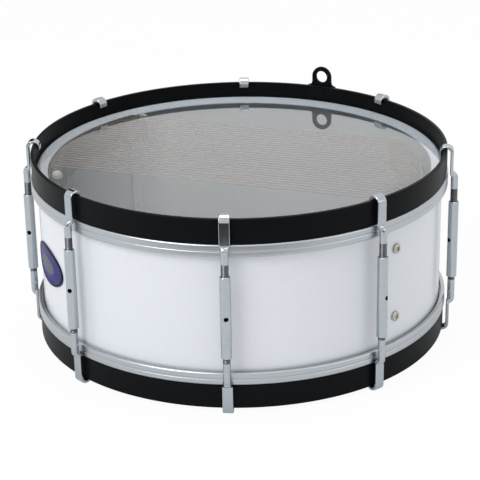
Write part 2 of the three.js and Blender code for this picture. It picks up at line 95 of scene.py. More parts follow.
def arc(centre: tuple[float, float], radius: float, start: float, end: float, steps: int) -> Profile:
    """Points along an arc, both ends included.

    Args:
        centre: Centre of the arc.
        radius: Its radius.
        start: First angle in degrees.
        end: Last angle in degrees.
        steps: Number of stretches between the points.

    Returns:
        The points in order.
    """
    angles = [math.radians(start + (end - start) * i / steps) for i in range(steps + 1)]
    return [(centre[0] + radius * math.cos(a), centre[1] + radius * math.sin(a)) for a in angles]


def dome(radius: float, side: float, top: float, steps: int) -> Profile:
    """Section of a domed head, from its rim up to the axis.

    Args:
        radius: Radius of the head.
        side: Height at which its straight side ends.
        top: Height of its crown.
        steps: Number of stretches between the points.

    Returns:
        Radius and height of each point.
    """
    rise = (top - side) / radius
    rim = arc((0, 0), radius, 0, 90, steps)[:-1]
    return [*((r, side + z * rise) for r, z in rim), (0, top)]


def around(radius: float, azimuth: float, height: float) -> Vector:
    """A place on the drum, in millimetres, from its radius, azimuth and height."""
    turn = math.radians(azimuth)
    return Vector((radius * math.sin(turn), -radius * math.cos(turn), height))


def azimuth_of(place: Vector) -> float:
    """Azimuth of a place on the drum, in degrees."""
    return math.degrees(math.atan2(place.x, -place.y))


def node_box(node: str) -> tuple[Vector, Vector]:
    """Lowest and highest corner of a node of the frame, in millimetres."""
    low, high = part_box(node)
    return low / MM, high / MM


# Materials


def add_node(tree: bpy.types.NodeTree, kind: str, inputs: dict | None = None, **settings) -> bpy.types.Node:
    """Add a shader node, set its properties, and fill or link its inputs.

    Args:
        tree: The material's node tree.
        kind: The node's type name.
        inputs: Values or output sockets by input name or number.
        **settings: Properties of the node.

    Returns:
        The new node.
    """
    made = tree.nodes.new(kind)
    for key, value in settings.items():
        setattr(made, key, value)
    for key, value in (inputs or {}).items():
        if isinstance(value, bpy.types.NodeSocket):
            tree.links.new(value, made.inputs[key])
        else:
            made.inputs[key].default_value = value
    return made


@dataclass(frozen=True)
class Finish:
    """The finish of one real material: colour, gloss and relief that all follow one pattern.

    Attributes:
        name: Name of the material.
        dark: Colour where the pattern is low.
        pale: Colour where the pattern is high.
        rough: Roughness where the pattern is low and where it is high.
        depth: Height of the relief in millimetres.
        cell: Size of the pattern's lumps along X, Y and Z, in millimetres.
        fixed: What is the same all over the surface, by the shader's input.
    """

    name: str
    dark: str
    pale: str
    rough: tuple[float, float]
    depth: float
    cell: Point
    fixed: dict[str, float] = field(default_factory=dict)
    detail: ClassVar[float] = 1.5

    def lumps(self, tree: bpy.types.NodeTree, place: bpy.types.NodeSocket,
              sizes: Point) -> bpy.types.NodeSocket:
        """Noise laid over a place, with lumps of the sizes given.

        Args:
            tree: The material's node tree.
            place: Where each point of the surface is.
            sizes: Size of a lump along each direction, in the units of the place.

        Returns:
            The noise's value, from nought to one.
        """
        fit = {"Vector": place, "Scale": tuple(1 / size for size in sizes)}
        fitted = add_node(tree, "ShaderNodeMapping", fit).outputs["Vector"]
        inputs = {"Vector": fitted, "Scale": 1.0, "Detail": self.detail}
        return add_node(tree, "ShaderNodeTexNoise", inputs).outputs["Fac"]

    def pattern(self, tree: bpy.types.NodeTree) -> bpy.types.NodeSocket:
        """Soft random lumps of the cell's size.

        Args:
            tree: The material's node tree.

        Returns:
            The pattern's value, from nought to one.
        """
        place = add_node(tree, "ShaderNodeTexCoord").outputs["Object"]
        return self.lumps(tree, place, tuple(size * MM for size in self.cell))

    def shade(self, tree: bpy.types.NodeTree) -> bpy.types.NodeSocket:
        """A surface whose colour, gloss and relief follow the pattern.

        Args:
            tree: The material's node tree.

        Returns:
            The shader.
        """
        value = self.pattern(tree)
        colours = {0: value, 6: linear(self.dark), 7: linear(self.pale)}
        span = {"Value": value, "To Min": self.rough[0], "To Max": self.rough[1]}
        relief = {"Height": value, "Distance": self.depth * MM}
        inputs = {
            "Base Color": add_node(tree, "ShaderNodeMix", colours, data_type="RGBA").outputs[2],
            "Roughness": add_node(tree, "ShaderNodeMapRange", span).outputs["Result"],
            "Normal": add_node(tree, "ShaderNodeBump", relief).outputs["Normal"],
            **self.fixed,
        }
        return add_node(tree, "ShaderNodeBsdfPrincipled", inputs).outputs["BSDF"]

    def material(self) -> bpy.types.Material:
        """Build the node material."""
        made = bpy.data.materials.new(self.name)
        made.use_nodes = True
        made.node_tree.nodes.clear()
        surface = self.shade(made.node_tree)
        add_node(made.node_tree, "ShaderNodeOutputMaterial", {"Surface": surface})
        return made


@dataclass(frozen=True)
class TurnedFinish(Finish):
    """A finish with fine lines round the drum's axis.

    Its cell is a line's depth along the radius, its sweep in degrees and its height.
    """

    detail: ClassVar[float] = 1.0

    def pattern(self, tree: bpy.types.NodeTree) -> bpy.types.NodeSocket:
        """Lumps drawn out round the axis to lines.

        Args:
            tree: The material's node tree.

        Returns:
            The pattern's value, from nought to one.
        """
        place = add_node(tree, "ShaderNodeTexCoord").outputs["Object"]
        parts = add_node(tree, "ShaderNodeSeparateXYZ", {"Vector": place}).outputs
        flat = add_node(tree, "ShaderNodeCombineXYZ", {"X": parts["X"], "Y": parts["Y"]}).outputs["Vector"]
        radius = add_node(tree, "ShaderNodeVectorMath", {0: flat}, operation="LENGTH").outputs["Value"]
        sides = {0: parts["Y"], 1: parts["X"]}
        angle = add_node(tree, "ShaderNodeMath", sides, operation="ARCTAN2").outputs[0]
        turned = {"X": radius, "Y": angle, "Z": parts["Z"]}
        polar = add_node(tree, "ShaderNodeCombineXYZ", turned).outputs["Vector"]
        across, sweep, tall = self.cell
        return self.lumps(tree, polar, (across * MM, math.radians(sweep), tall * MM))


@dataclass(frozen=True)
class TwistedFinish(Finish):
    """A finish with the slanting lay of a twisted cord. Its cell's first size is the lay."""

    slant: float = 35.0
    unevenness: float = 0.4
    radians_per_unit: ClassVar[float] = 20.0

    def pattern(self, tree: bpy.types.NodeTree) -> bpy.types.NodeSocket:
        """Slanting bands, a little uneven.

        Args:
            tree: The material's node tree.

        Returns:
            The pattern's value, from nought to one.
        """
        place = add_node(tree, "ShaderNodeTexCoord").outputs["Object"]
        turn = (0.0, 0.0, math.radians(self.slant))
        place = add_node(tree, "ShaderNodeMapping", {"Vector": place, "Rotation": turn}).outputs["Vector"]
        waves_per_unit = self.radians_per_unit / TAU
        scale = 1 / (self.cell[0] * MM * waves_per_unit)
        inputs = {"Vector": place, "Scale": scale, "Distortion": self.unevenness}
        return add_node(tree, "ShaderNodeTexWave", inputs, wave_type="BANDS").outputs["Fac"]


@dataclass(frozen=True)
class FilmFinish(Finish):
    """A see-through film with a faint haze, which lets light rays through unbent."""

    tint: str = "EEF0F1"
    haze: float = 0.02

    def shade(self, tree: bpy.types.NodeTree) -> bpy.types.NodeSocket:
        """Clear film with a little milk in it, and a plain tint for the rays that carry light.

        Args:
            tree: The material's node tree.

        Returns:
            The shader.
        """
        value = self.pattern(tree)
        span = {"Value": value, "To Min": self.rough[0], "To Max": self.rough[1]}
        clear = add_node(tree, "ShaderNodeBsdfPrincipled", {
            "Base Color": linear(self.pale), "Transmission Weight": 1.0,
            "Roughness": add_node(tree, "ShaderNodeMapRange", span).outputs["Result"], **self.fixed,
        }).outputs["BSDF"]
        milk = add_node(tree, "ShaderNodeBsdfDiffuse", {"Color": linear(self.dark)}).outputs["BSDF"]
        skin = add_node(tree, "ShaderNodeMixShader", {0: self.haze, 1: clear, 2: milk}).outputs[0]
        rays = add_node(tree, "ShaderNodeLightPath").outputs
        kinds = {0: rays["Is Shadow Ray"], 1: rays["Is Diffuse Ray"]}
        light = add_node(tree, "ShaderNodeMath", kinds, operation="MAXIMUM").outputs[0]
        through = add_node(tree, "ShaderNodeBsdfTransparent", {"Color": linear(self.tint)}).outputs["BSDF"]
        return add_node(tree, "ShaderNodeMixShader", {0: light, 1: skin, 2: through}).outputs[0]


@dataclass(frozen=True)
class PaperFinish(Finish):
    """Seamless studio paper that the camera, metal and glass see brighter than it is lit.

    Attributes:
        shares: How much of its glow the camera, metal and glass see.
    """

    shares: tuple[float, float, float] = (0.0, 0.0, 0.0)

    def shade(self, tree: bpy.types.NodeTree) -> bpy.types.NodeSocket:
        """Matt paper mixed with a white glow, which lights nothing.

        Args:
            tree: The material's node tree.

        Returns:
            The shader.
        """
        paper = super().shade(tree)
        glow = add_node(tree, "ShaderNodeEmission", {"Strength": 1.0}).outputs["Emission"]
        share = by_ray(tree, 0.0, self.shares)
        return add_node(tree, "ShaderNodeMixShader", {0: share, 1: paper, 2: glow}).outputs[0]


@dataclass(frozen=True)
class ClothFinish(Finish):
    """Matt cloth of a studio flag, which can thin out towards one side.

    Attributes:
        fade: Place along X where the cloth starts and place where it is whole, in millimetres.
    """

    fade: tuple[float, float] = (0.0, 0.0)

    def shade(self, tree: bpy.types.NodeTree) -> bpy.types.NodeSocket:
        """Cloth that is see-through where it starts.

        Args:
            tree: The material's node tree.

        Returns:
            The shader.
        """
        cloth = super().shade(tree)
        start, whole = self.fade
        if start == whole:
            return cloth
        place = add_node(tree, "ShaderNodeTexCoord").outputs["Object"]
        span = (whole - start) * MM
        fit = {"Vector": place, "Location": (-start * MM / span, 0.0, 0.0), "Scale": (1 / span, 1.0, 1.0)}
        place = add_node(tree, "ShaderNodeMapping", fit).outputs["Vector"]
        along = add_node(tree, "ShaderNodeSeparateXYZ", {"Vector": place}).outputs["X"]
        share = add_node(tree, "ShaderNodeClamp", {"Value": along}).outputs["Result"]
        clear = add_node(tree, "ShaderNodeBsdfTransparent").outputs["BSDF"]
        return add_node(tree, "ShaderNodeMixShader", {0: share, 1: clear, 2: cloth}).outputs[0]


def by_ray(tree: bpy.types.NodeTree, rest: float, seen: tuple[float, float, float]) -> bpy.types.NodeSocket:
    """A number that depends on what looks at a surface.

    Args:
        tree: The node tree.
        rest: The number for all other rays.
        seen: The numbers for the camera, for metal and for glass.

    Returns:
        The number's socket.
    """
    rays = add_node(tree, "ShaderNodeLightPath").outputs
    value = rest
    for kind, number in zip(("Is Camera Ray", "Is Glossy Ray", "Is Transmission Ray"), seen):
        value = add_node(tree, "ShaderNodeMix", {0: rays[kind], 2: value, 3: number}).outputs[0]
    return value


def even(size: float) -> Point:
    """A pattern's cell that is as long as it is broad and high."""
    return size, size, size


class PaintShop:
    """Builds each finish once and hands it out by slot."""

    def __init__(self) -> None:
        """Build the finishes of the slots, and those that share a slot with another."""
        metal = {"Metallic": 1.0}
        kinds = {
            # Baked enamel on the shell: milky, faintly blue white, with orange peel under a clear gloss.
            Slot.WHITE_ENAMEL: Finish("white_baked_enamel", "DDE1E8", "E5E9EF", (0.3, 0.38), 0.01, even(2.4),
                                      {"Coat Weight": 0.4, "Coat Roughness": 0.14}),
            # Powder coat on the hoops and the ear: near black with a dull sheen over a pebbled skin.
            Slot.BLACK_ENAMEL: Finish("black_powder_coat", "0A0C0E", "0F1114", (0.34, 0.44), 0.01, even(0.9),
                                      {"Specular IOR Level": 0.06}),
            # Drawn aluminium of the flesh hoops: satin grey, with the die's lines round the hoop.
            Slot.RING_ALUMINIUM: TurnedFinish("drawn_aluminium", "AAAFB4", "BBC0C4", (0.24, 0.36), 0.005,
                                              (0.35, 12.0, 0.35), metal),
            # Polyester drum head: clear and glossy with a faint haze, so that the inside looks greyer.
            Slot.CLEAR_FILM: FilmFinish("clear_polyester_film", "D4D6D8", "F4F6F7", (0.0, 0.04), 0.0,
                                        even(6.0), {"IOR": 1.55}),
            # Bright plating on the hooks and nuts: a cool grey mirror, barely waved by the forging.
            Slot.ROD_CHROME: Finish("bright_plated_steel", "A8AFB5", "B3BABF", (0.07, 0.13), 0.003, even(5.0),
                                    metal),
            # Vitreous enamel of the badge's rim: navy under a glassy skin.
            Slot.BADGE_ENAMEL: Finish("navy_badge_enamel", "0E0B34", "17124A", (0.3, 0.4), 0.01, even(9.0),
                                      {"Specular IOR Level": 0.05}),
            # Twisted gut of the snare: waxy brown-beige. Its lay of 1.1 mm is drawn at 2 mm, to show.
            Slot.SNARE_CORD: TwistedFinish("twisted_gut_cord", "66554A", "786659", (0.4, 0.46), 0.03,
                                           even(2.0), {"Subsurface Weight": 0.1,
                                                       "Subsurface Scale": 0.7 * MM}),
            # Moulded nylon of the rails, with the mould's fine grain: painted far darker than its dull beige,
            # as painted shade in the gaps between the strands over it.
            Slot.RAIL_PLASTIC: Finish("nylon_with_painted_shade", "3E372F", "4D453B", (0.45, 0.58), 0.02, even(0.6)),
            # Zinc on the inner sheet steel: dull grey, blotched where it lies thick.
            Slot.INNER_STEEL: Finish("zinc_plated_sheet", "83888C", "9A9EA1", (0.34, 0.48), 0.004, even(4.0),
                                     metal),
            # Nickel on the pan-head screws: a slightly warm, satin silver.
            Slot.SCREW_NICKEL: Finish("nickel_plated_screw", "A8A59C", "B9B6AD", (0.2, 0.3), 0.004, even(1.2),
                                      metal),
            # Moulded rubber of the posts: dark and dull, with a coarse grain.
            Slot.POST_RUBBER: Finish("moulded_rubber", "17151D", "221F29", (0.6, 0.75), 0.03, even(0.8)),
            # Plastic of the posts' caps: smooth cream.
            Slot.CAP_CREAM: Finish("cream_plastic_cap", "C4BDAA", "D2CCBB", (0.32, 0.42), 0.01, even(0.5)),
        }
        self.by_slot = {slot: kind.material() for slot, kind in kinds.items()}
        # Mill finish inside the shell: dull mid grey with faint rolling lines.
        self.bare_sheet = TurnedFinish("bare_aluminium_sheet", "969B9F", "A4A9AD", (0.42, 0.55), 0.008,
                                       (0.8, 9.0, 0.8), {"Metallic": 0.35}).material()
        # Cut thread of the hook rods: duller than the plating, and painted darker as painted shade for its
        # grooves.
        self.thread_painted_shade = Finish("thread_with_painted_groove_shade", "5E6063", "74767A", (0.3, 0.42), 0.01, even(1.0),
                                 metal).material()
        # Vitreous enamel of the badge's field: blue-violet in slow pools under a glassy skin.
        self.badge_field = Finish("violet_badge_enamel", "282570", "373386", (0.3, 0.4), 0.01, even(7.0),
                                  {"Specular IOR Level": 0.05}).material()
        # Bare metal in the middle of the badge and on its line: grey, brushed along the badge.
        self.badge_metal = Finish("brushed_badge_metal", "51565E", "646A74", (0.32, 0.46), 0.01,
                                  (9.0, 9.0, 0.25), {"Metallic": 0.2, "Specular IOR Level": 0.05}).material()


# Modelling


class Bench:
    """The modelling operators that the pieces are made with. It takes millimetres."""

    doubles = 0.002
    ring_steps = 224

    def rest(self) -> None:
        """Leave edit mode and deselect everything."""
        if bpy.context.object and bpy.context.object.mode != "OBJECT":
            bpy.ops.object.mode_set(mode="OBJECT")
        bpy.ops.object.select_all(action="DESELECT")

    def pick(self, obj: bpy.types.Object) -> None:
        """Select one object alone and make it active."""
        self.rest()
        obj.select_set(True)
        bpy.context.view_layer.objects.active = obj

    def name(self, name: str) -> bpy.types.Object:
        """Name the active object and its mesh, and return the object."""
        made = bpy.context.active_object
        made.name = name
        made.data.name = name
        return made

    def edit(self, kind: str = "VERT") -> None:
        """Enter edit mode on the active object, with all of it selected."""
        bpy.ops.object.mode_set(mode="EDIT")
        bpy.ops.mesh.select_mode(type=kind)
        bpy.ops.mesh.select_all(action="SELECT")

    def choose(self, obj: bpy.types.Object, test: Callable[[Vector], bool]) -> None:
        """Select the points of a mesh in edit mode that pass a test of their place.

        Args:
            obj: The object in edit mode.
            test: Says whether a place in millimetres is wanted.
        """
        bpy.ops.mesh.select_mode(type="VERT")
        bpy.ops.mesh.select_all(action="DESELECT")
        mesh = bmesh.from_edit_mesh(obj.data)
        for vert in mesh.verts:
            vert.select_set(test(vert.co / MM))
        mesh.select_flush_mode()
        bmesh.update_edit_mesh(obj.data)

    def move(self, step: Iterable[float]) -> None:
        """Move what is selected by a step."""
        bpy.ops.transform.translate(value=Vector(step) * MM)

    def scale(self, factors: Point, centre: Iterable[float] = (0, 0, 0)) -> None:
        """Scale what is selected about a centre."""
        bpy.ops.transform.resize(value=factors, center_override=Vector(centre) * MM)

    def pull(self, step: Iterable[float]) -> None:
        """Extrude what is selected by a step."""
        bpy.ops.mesh.extrude_region_move(TRANSFORM_OT_translate={"value": Vector(step) * MM})

    def wire(self, name: str, points: list[Point]) -> bpy.types.Object:
        """Draw a chain of edges point by point. It is left in edit mode with all of it selected.

        Args:
            name: Name of the new object.
            points: The chain's points in order.

        Returns:
            The new object.
        """
        self.rest()
        bpy.ops.mesh.primitive_plane_add(size=MM, calc_uvs=False, location=(0, 0, 0))
        made = self.name(name)
        self.edit()
        bpy.ops.mesh.merge(type="CENTER")
        self.move(points[0])
        for before, point in zip(points, points[1:]):
            step = (Vector(point) - Vector(before)) * MM
            bpy.ops.mesh.extrude_vertices_move(TRANSFORM_OT_translate={"value": step})
        bpy.ops.mesh.select_all(action="SELECT")
        return made

    def close(self) -> None:
        """Merge doubled points, turn the faces outwards and leave edit mode."""
        bpy.ops.mesh.select_all(action="SELECT")
        bpy.ops.mesh.remove_doubles(threshold=self.doubles * MM)
        bpy.ops.mesh.normals_make_consistent(inside=False)
        bpy.ops.object.mode_set(mode="OBJECT")

    def turned(self, name: str, section: Profile, steps: int = 0) -> bpy.types.Object:
        """Turn a closed section once round the vertical axis.

        Args:
            name: Name of the new object.
            section: Radius and height of each point. Both ends on the axis, or neither.
            steps: Number of sides, or nought for those of a ring.

        Returns:
            The new object.
        """
        points = [(r, 0.0, z) for r, z in section]
        if section[0][0] > 0:
            points.append(points[0])
        made = self.wire(name, points)
        bpy.ops.mesh.spin(steps=steps or self.ring_steps, angle=TAU, center=(0, 0, 0), axis=(0, 0, 1))
        self.close()
        return made

    def swept(self, name: str, section: Profile, start: float, end: float, steps: int) -> bpy.types.Object:
        """Carry a closed section along an arc about the vertical axis, with both ends filled.

        Args:
            name: Name of the new object.
            section: Radius and height of each point.
            start: Azimuth at which the bar starts.
            end: Azimuth at which it ends.
            steps: Number of stretches along it.

        Returns:
            The new object.
        """
        points = [tuple(around(r, start, z)) for r, z in section]
        made = self.wire(name, [*points, points[0]])
        bpy.ops.mesh.remove_doubles(threshold=self.doubles * MM)
        angle = -math.radians(end - start)
        bpy.ops.mesh.spin(steps=steps, angle=angle, center=(0, 0, 0), axis=(0, 0, 1))
        bpy.ops.mesh.select_all(action="SELECT")
        bpy.ops.mesh.fill_holes(sides=0)
        self.close()
        return made

    def prism(self, name: str, outline: list[Point], push: Point) -> bpy.types.Object:
        """Fill a flat outline and push it out to a solid.

        Args:
            name: Name of the new object.
            outline: The outline's points in order.
            push: Direction and depth of the solid.

        Returns:
            The new object.
        """
        made = self.wire(name, outline)
        bpy.ops.mesh.edge_face_add()
        self.pull(push)
        self.close()
        return made

    def apply(self, obj: bpy.types.Object, kind: str, **settings) -> None:
        """Add a modifier with its settings and apply it."""
        self.pick(obj)
        bpy.ops.object.modifier_add(type=kind)
        modifier = obj.modifiers[-1]
        for key, value in settings.items():
            setattr(modifier, key, value)
        bpy.ops.object.modifier_apply(modifier=modifier.name)

    def soften(self, obj: bpy.types.Object, width: float, segments: int = 3, angle: float = 40) -> None:
        """Round the edges of a piece that are sharper than an angle."""
        self.apply(obj, "BEVEL", width=width * MM, segments=segments, limit_method="ANGLE",
                   angle_limit=math.radians(angle), harden_normals=False)

    def drill(self, obj: bpy.types.Object, cutter: bpy.types.Object) -> None:
        """Cut one piece out of another and remove the cutter."""
        self.apply(obj, "BOOLEAN", operation="DIFFERENCE", solver="EXACT", object=cutter)
        bpy.data.objects.remove(cutter, do_unlink=True)

    def rod(self, diameter: float, start: Point, end: Point, sides: int = 32) -> bpy.types.Object:
        """A plain round bar between two points, used as a cutter."""
        line = Vector(end) - Vector(start)
        self.rest()
        bpy.ops.mesh.primitive_cylinder_add(
            vertices=sides, radius=diameter / 2 * MM, depth=line.length * MM,
            location=(Vector(start) + Vector(end)) / 2 * MM, rotation=line.to_track_quat("Z", "Y").to_euler())
        bpy.ops.object.transform_apply(location=True, rotation=True, scale=True)
        return self.name("cutter")

    def join(self, name: str, pieces: list[bpy.types.Object]) -> bpy.types.Object:
        """Join several objects into one."""
        self.pick(pieces[0])
        for piece in pieces[1:]:
            piece.select_set(True)
        bpy.ops.object.join()
        return self.name(name)

    def place(self, obj: bpy.types.Object, azimuth: float = 0.0, step: Iterable[float] = (0, 0, 0)) -> None:
        """Move a piece by a step, then turn it round the drum's axis, all within its mesh."""
        self.pick(obj)
        obj.location = Vector(step) * MM
        bpy.ops.object.transform_apply(location=True, rotation=False, scale=False)
        obj.rotation_euler.z = math.radians(azimuth)
        bpy.ops.object.transform_apply(location=False, rotation=True, scale=False)

    def tilt(self, obj: bpy.types.Object, outwards: bool = True) -> None:
        """Turn a piece's upper side so that it looks along -Y, or along +Y."""
        self.pick(obj)
        obj.rotation_euler.x = math.pi / 2 if outwards else -math.pi / 2
        bpy.ops.object.transform_apply(location=False, rotation=True, scale=False)

    def copy(self, obj: bpy.types.Object, name: str) -> bpy.types.Object:
        """A copy of a piece with a mesh of its own."""
        self.pick(obj)
        bpy.ops.object.duplicate(linked=False)
        return self.name(name)

    def flipped(self, obj: bpy.types.Object, name: str, level: float) -> bpy.types.Object:
        """A copy of a piece turned over about a level.

        Args:
            obj: The piece to copy.
            name: Name of the copy.
            level: Height of the plane that it is mirrored in.

        Returns:
            The copy.
        """
        made = self.copy(obj, name)
        made.scale.z = -1
        made.location.z = 2 * level * MM
        bpy.ops.object.transform_apply(location=True, rotation=False, scale=True)
        self.edit()
        bpy.ops.mesh.normals_make_consistent(inside=False)
        bpy.ops.object.mode_set(mode="OBJECT")
        return made

    def smooth(self, obj: bpy.types.Object, angle: float = 35) -> None:
        """Shade a piece smooth below an angle, with its large faces kept flat."""
        self.pick(obj)
        bpy.ops.object.shade_smooth_by_angle(angle=math.radians(angle))
        self.apply(obj, "WEIGHTED_NORMAL", keep_sharp=True, weight=50)


@dataclass(frozen=True)
class Levels:
    """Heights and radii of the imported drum, in millimetres, read from its nodes."""

    hoop_low: float
    hoop_top: float
    hoop_outer: float
    ring_low: float
    ring_top: float
    ring_outer: float
    hem_low: float
    hem_outer: float
    head_top: float
    shell_top: float
    shell_radius: float
    middle: float
    hook_top: float
    shank_end: float
    nut_length: float

    @classmethod
    def read(cls) -> "Levels":
        """Take the levels from the frame's nodes.

        Returns:
            The drum's levels.
        """
        hoop = node_box("top_counter_hoop")
        ring = node_box("top_flesh_hoop")
        film = node_box("top_head_film")
        shell = node_box("shell")
        hook = node_box("front_upper_hook")
        nut = node_box("front_tube_nut")
        return cls(
            hoop_low=hoop[0].z, hoop_top=hoop[1].z, hoop_outer=hoop[1].x,
            ring_low=ring[0].z, ring_top=ring[1].z, ring_outer=ring[1].x,
            hem_low=film[0].z, hem_outer=film[1].x, head_top=film[1].z,
            shell_top=shell[1].z, shell_radius=shell[1].x, middle=(shell[0].z + shell[1].z) / 2,
            hook_top=hook[1].z, shank_end=hook[0].z, nut_length=nut[1].z - nut[0].z,
        )


@dataclass
class SubAssembly:
    """A group of the drum's pieces, with the bench and the finishes that they share."""

    bench: Bench
    shop: PaintShop
    levels: Levels
    stud_sides: ClassVar[int] = 28
    stud_steps: ClassVar[int] = 7
    stud_side_share: ClassVar[float] = 1 / 3
    dome_steps: ClassVar[int] = 10
    dome_angle: ClassVar[float] = 50.0

    def fit(self, obj: bpy.types.Object, slot: Slot, node: str | None = None, body: str = "drum") -> None:
        """Give a finished piece its material and body, and hide the node of the frame that it stands for.

        Args:
            obj: The piece.
            slot: Its material slot.
            node: The node of the frame that it stands for, if any.
            body: The body that it moves with.
        """
        if not obj.data.materials:
            obj.data.materials.append(self.shop.by_slot[slot])
        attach(obj, body)
        if node:
            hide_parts(node)
        LOG.info("%s: %d faces on %s", obj.name, len(obj.data.polygons), body)

    def studs(self, name: str, diameter: float, rise: float, spots: list[tuple[float, Point]],
              outwards: bool = True) -> bpy.types.Object:
        """Domed heads of rivets or small screws, modelled once, copied and joined into one piece.

        Args:
            name: Name of the piece.
            diameter: Diameter of a head.
            rise: How far a head stands out.
            spots: Azimuth of each head, and its seat before it is turned there.
            outwards: Whether the heads look away from the drum's axis.

        Returns:
            The joined heads.
        """
        bench, radius = self.bench, diameter / 2
        head = dome(radius, rise * self.stud_side_share, rise, self.stud_steps)
        pattern = bench.turned("stud", [(0, 0), (radius, 0), *head], self.stud_sides)
        bench.tilt(pattern, outwards)
        heads = []
        for azimuth, seat in spots:
            head = bench.copy(pattern, f"{name}_head")
            bench.place(head, azimuth, seat)
            heads.append(head)
        bpy.data.objects.remove(pattern, do_unlink=True)
        made = bench.join(name, heads)
        bench.smooth(made, self.dome_angle)
        return made


@dataclass
class Shell(SubAssembly):
    """The white shell, with its rounded bearing edges, turned-in flanges and rolled lips.

    The enamel runs over the outer side of the flanges, and the inside is bare.
    """

    wall: float = 1.5
    flange_facing: float = 0.3
    turn_in: float = 9.8
    drop: float = 4.2
    edge_round: float = 3.2
    bead: float = 1.2
    bead_steps: int = 14
    screw_hole: float = 4.6
    hole_depth: float = 8.0

    def half_section(self) -> Profile:
        """Section of the wall above the middle: outside, bearing edge, rolled lip and inside.

        Returns:
            Radius and height of each point, from the outside to the inside.
        """
        outer, top = self.levels.shell_radius, self.levels.shell_top
        slope = self.drop / (self.turn_in - self.edge_round)
        length = math.hypot(1, slope)
        inwards = Vector((-1, -slope)) / length
        upwards = Vector((-slope, 1)) / length
        bead_r = outer - self.turn_in + self.bead
        bead_z = top - (outer - self.edge_round - bead_r) * slope - self.wall * length / 2
        joint = math.degrees(math.acos(self.wall / 2 / self.bead)) + 90
        lip = []
        for into, up in arc((0, 0), self.bead, joint, -joint, self.bead_steps):
            point = Vector((bead_r, bead_z)) + inwards * into + upwards * up
            lip.append((point.x, point.y))
        edge = arc((outer - self.edge_round, top - self.edge_round), self.edge_round, 0, 90, 8)
        under = [(outer - self.edge_round, top - self.wall * length),
                 (outer - self.wall, top - self.edge_round - self.wall * slope)]
        return [*edge, *lip, *under]

    def build(self, screws: list[Vector]) -> None:
        """Turn the shell, drill it for the bracket screws, and split its enamel from the bare sheet.

        Args:
            screws: Places of the bracket screws on the wall.
        """
        upper = self.half_section()
        lower = [(r, 2 * self.levels.middle - z) for r, z in reversed(upper)]
        shell = self.bench.turned("enamelled_shell", [*upper, *lower])
        for place in screws:
            outwards = Vector((place.x, place.y, 0)).normalized()
            cutter = self.bench.rod(self.screw_hole, place - outwards * self.hole_depth,
                                    place + outwards * self.hole_depth)
            self.bench.drill(shell, cutter)
        shell.data.materials.append(self.shop.by_slot[Slot.WHITE_ENAMEL])
        shell.data.materials.append(self.shop.bare_sheet)
        outside = (self.levels.shell_radius - self.wall / 2) * MM
        for face in shell.data.polygons:
            faces_out = face.normal.z * (face.center.z - self.levels.middle * MM) > 0
            on_flange = faces_out and abs(face.normal.z) > self.flange_facing
            face.material_index = 0 if on_flange or face.center.xy.length > outside else 1
        self.bench.smooth(shell)
        self.fit(shell, Slot.WHITE_ENAMEL, "shell")


@dataclass
class Hoops(SubAssembly):
    """The black counter hoops and the aluminium flesh hoops, each modelled once and turned over."""

    hoop_thickness: float = 3.2
    hoop_round: float = 0.7
    bore_round: float = 0.4
    ring_inset: float = 0.6
    ring_round: float = 1.6
    ring_bore_round: float = 0.3
    groove_depth: float = 0.35
    groove_half: float = 0.9
    groove_steps: int = 8
    hem_room: float = 0.3
    film: float = 0.3

    def counter_section(self) -> Profile:
        """Section of a counter hoop: a flat band with rounded edges."""
        lv = self.levels
        outer, inner = lv.hoop_outer, lv.hoop_outer - self.hoop_thickness
        big, small = self.hoop_round, self.bore_round
        return [
            *arc((inner + small, lv.hoop_low + small), small, 180, 270, 4),
            *arc((outer - big, lv.hoop_low + big), big, 270, 360, 6),
            *arc((outer - big, lv.hoop_top - big), big, 0, 90, 6),
            *arc((inner + small, lv.hoop_top - small), small, 90, 180, 4),
        ]

    def flesh_section(self) -> Profile:
        """Section of a flesh hoop: a bellied band with a groove outside and a slot for the hem inside."""
        lv = self.levels
        outer = lv.ring_outer
        inner = lv.hoop_outer - self.hoop_thickness + self.ring_inset
        big, small = self.ring_round, self.ring_bore_round
        mid = (lv.ring_low + lv.ring_top) / 2
        slot = lv.hem_outer + self.hem_room
        slot_low, slot_top = lv.hem_low - self.hem_room, lv.hem_low + self.film + self.hem_room
        turns = (math.pi * i / self.groove_steps for i in range(self.groove_steps + 1))
        groove = [(outer - self.groove_depth * math.sin(t) ** 2, mid - self.groove_half * math.cos(t))
                  for t in turns]
        return [
            *arc((inner + small, lv.ring_low + small), small, 180, 270, 3),
            *arc((outer - big, lv.ring_low + big), big, 270, 360, 7),
            *groove,
            *arc((outer - big, lv.ring_top - big), big, 0, 90, 7),
            *arc((inner + small, lv.ring_top - small), small, 90, 180, 3),
            (inner, slot_top), (slot, slot_top), (slot, slot_low), (inner, slot_low),
        ]

    def build(self) -> None:
        """Turn both kinds of hoop for the top head and turn copies over for the bottom head."""
        kinds = (
            ("counter_hoop", self.counter_section(), Slot.BLACK_ENAMEL),
            ("flesh_hoop", self.flesh_section(), Slot.RING_ALUMINIUM),
        )
        for node, section, slot in kinds:
            upper = self.bench.turned(f"{node}_above", section)
            lower = self.bench.flipped(upper, f"{node}_below", self.levels.middle)
            for hoop, side in ((upper, "top"), (lower, "bottom")):
                self.bench.smooth(hoop)
                self.fit(hoop, slot, f"{side}_{node}")


